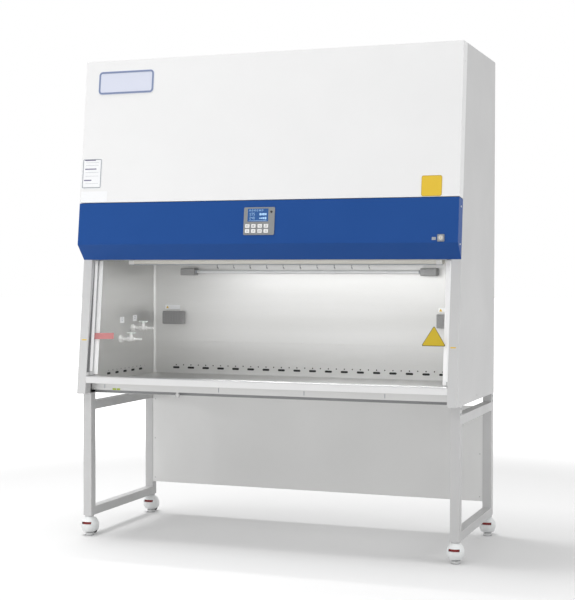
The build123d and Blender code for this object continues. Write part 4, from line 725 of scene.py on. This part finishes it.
# small clips and films on the front edge of the drain pan
mesh = bmesh.new()
for x in (-808, -216, 205, 585):
    addPlate(mesh, place(x, 61, 725, facing("-y")), 3.2, 20, 1.6, 1.2, 0.4)
finishPiece("panClips", mesh, "vinylGrey")
mesh = bmesh.new()
for x in (-757, -735):
    addPlate(mesh, place(x, 61, 713.5, facing("-y")), 19, 9, 0.3, 1)
finishPiece("panFilm", mesh, "vinylMoss")
# painted shade: a mid-grey strip along the sump's front wall, under the pan's shelf
mesh = bmesh.new()
addPlate(mesh, place(0, 100, 699.5, facing("-y")), 1756, 15.4, 0.8, 0.5, 0.2)
finishPiece("sumpShadeStrip", mesh, "sumpShadeGrey")

# bolts that join the stand to the casing, and the screws of its rear panel
mesh = bmesh.new()
for side in (-1, 1):
    for y in (legFront, legRear):
        for z in (655, 679):
            addTurned(mesh, place(side * (legX + 21), y, z, facing("+x" if side > 0 else "-x")),
                      [(5.5, 0), (5.5, 1.6), (4.6, 2.8), (3.0, 2.8), (2.6, 1.4), (0, 1.4)], 18)
finishPiece("standBolts", mesh, "zincPlate")
mesh = bmesh.new()
for side in (-1, 1):
    for z in (190, 397, 604):
        addPanHead(mesh, place(side * 868, 735, z, facing("-y")), 3.4, 1.6)
finishPiece("standPanelScrews", mesh, "powderCoatStand")
print("stand fixings made")

# castors: rubber sole edge on each pad, a bead round the skirt and lips along the window
def addArcBand(mesh, spot, profile, start, end, steps=28):
    # a closed profile of (radius, height) in millimetres, turned about local Z through part of a circle
    rings = []
    for i in range(steps + 1):
        angle = math.radians(start + (end - start) * i / steps)
        rings.append([mesh.verts.new(spot @ (Vector((r * math.cos(angle), r * math.sin(angle), z)) / 1000))
                      for r, z in profile])
    count = len(profile)
    for first, second in zip(rings, rings[1:]):
        for i in range(count):
            j = (i + 1) % count
            mesh.faces.new((first[i], first[j], second[j], second[i]))
    mesh.faces.new(rings[0])
    mesh.faces.new(list(reversed(rings[-1])))


castorPlaces = {"fl": (-legX, legFront), "fr": (legX, legFront), "rl": (-legX, legRear), "rr": (legX, legRear)}
soleProfile = [(19.8, 0.4), (21.15, 1.4), (21.15, 3.7), (20.6, 4.2), (19.2, 4.2), (19.2, 0.4)]
skirtBead = [(28.6, 20.4), (30.2, 20.6), (30.9, 22.0), (30.6, 23.6), (29.2, 24.0)]
windowLips = [
    [(38.6, 55.4), (40.5, 55.6), (40.6, 56.8), (38.6, 57.0)],
    [(35.6, 69.0), (37.6, 69.2), (37.3, 70.4), (35.6, 70.6)],
]
for corner, (x, y) in castorPlaces.items():
    mesh = bmesh.new()
    addTurned(mesh, place(x, y, 0), soleProfile, 32)
    finishPiece(f"padSole_{corner}", mesh, "soleRubber", f"castor_{corner}_foot")
    mesh = bmesh.new()
    addArcBand(mesh, place(x, y, 0), skirtBead, -218, 38)
    for lip in windowLips:
        addArcBand(mesh, place(x, y, 0), lip, -132, -48)
    finishPiece(f"windowTrim_{corner}", mesh, "nylonWhite", f"castor_{corner}")
print("castor trims made")


# floor, white air and lamps
def backgroundShare(tree):
    # 1 for rays that see the background: from the camera, in a reflection or through glass
    rays = addNode(tree, "ShaderNodeLightPath")
    seen = addNode(tree, "ShaderNodeMath", {"operation": "MAXIMUM"},
                   links={0: rays.outputs["Is Camera Ray"], 1: rays.outputs["Is Glossy Ray"]})
    return addNode(tree, "ShaderNodeMath", {"operation": "MAXIMUM"},
                   links={0: seen.outputs["Value"], 1: rays.outputs["Is Transmission Ray"]}).outputs["Value"]


studio = {"air": 0.5, "floorLift": 0.2, "floorColour": "#c8c8c8", "fadeFrom": 2.4, "fadeTo": 5.0}
world = bpy.data.worlds.new("studioAir")
bpy.context.scene.world = world
world.use_nodes = True
air = world.node_tree
air.nodes.clear()
soft = addNode(air, "ShaderNodeBackground", values={"Color": linear("#ffffff"), "Strength": studio["air"]})
white = addNode(air, "ShaderNodeBackground", values={"Color": linear("#ffffff"), "Strength": 1.0})
chosen = addNode(air, "ShaderNodeMixShader", links={0: backgroundShare(air), 1: soft.outputs["Background"],
                                                    2: white.outputs["Background"]})
addNode(air, "ShaderNodeOutputWorld", links={"Surface": chosen.outputs["Shader"]})

floorMaterial, tree = newTree("paleFloor")
where = addNode(tree, "ShaderNodeTexCoord").outputs["Object"]
distance = addNode(tree, "ShaderNodeVectorMath", {"operation": "LENGTH"}, links={0: where}).outputs["Value"]
far = addNode(tree, "ShaderNodeMapRange", {"interpolation_type": "SMOOTHSTEP"},
              {"From Min": studio["fadeFrom"], "From Max": studio["fadeTo"]},
              {"Value": distance}).outputs["Result"]
lift = addNode(tree, "ShaderNodeMapRange", values={"To Min": studio["floorLift"], "To Max": 1.0},
               links={"Value": far})
glow = addNode(tree, "ShaderNodeMath", {"operation": "MULTIPLY"},
               links={0: lift.outputs["Result"], 1: backgroundShare(tree)})
matte = addNode(tree, "ShaderNodeBsdfDiffuse", values={"Color": linear(studio["floorColour"])})
shine = addNode(tree, "ShaderNodeEmission", values={"Color": linear("#ffffff")},
                links={"Strength": glow.outputs["Value"]})
both = addNode(tree, "ShaderNodeAddShader", links={0: matte.outputs["BSDF"], 1: shine.outputs["Emission"]})
finishTree(tree, both.outputs["Shader"])
mesh = bmesh.new()
bmesh.ops.create_circle(mesh, cap_ends=True, radius=60, segments=64)
floorData = bpy.data.meshes.new("paleFloor")
mesh.to_mesh(floorData)
mesh.free()
floorData.materials.append(floorMaterial)
floorObject = bpy.data.objects.new("paleFloor", floorData)
bpy.context.scene.collection.objects.link(floorObject)
floorObject.location.z = -0.0005

lamps = {
    "keyLamp": {"at": (-0.3, -5.0, 5.4), "to": (0.0, 0.0, 1.3), "size": (6.0, 3.0), "power": 90},
    "topLamp": {"at": (-1.3, 0.15, 6.5), "to": (0.1, -0.1, 0.0), "size": (2.8, 2.8), "power": 360},
    "lowLamp": {"at": (0.8, -5.5, 0.5), "to": (0.0, 0.0, 0.9), "size": (5.0, 0.8), "power": 38},
    "legLamp": {"at": (-2.5, -2.2, 0.7), "to": (-0.9, 0.0, 0.4), "size": (0.9, 0.6), "power": 15},
    "sideLamp": {"at": (5.0, -0.6, 2.4), "to": (0.9, 0.0, 0.3), "size": (2.0, 2.0), "power": 50},
}


def addLamp(name, spot, size, power):
    data = bpy.data.lights.new(name, "AREA")
    data.shape, data.size, data.size_y, data.energy = "RECTANGLE", *size, power
    made = bpy.data.objects.new(name, data)
    bpy.context.scene.collection.objects.link(made)
    made.matrix_world = spot
    made.visible_camera = False
    return made


for name, lampSpec in lamps.items():
    aim = (Vector(lampSpec["to"]) - Vector(lampSpec["at"])).to_track_quat("-Z", "Y").to_matrix().to_4x4()
    made = addLamp(name, Matrix.Translation(lampSpec["at"]) @ aim, lampSpec["size"], lampSpec["power"])
    made.visible_glossy = False
addLamp("chamberLamp", place(140, 305, 1309), (1.3, 0.03), 5.0)
bpy.context.scene.view_settings.view_transform = "Standard"
print("studio set")
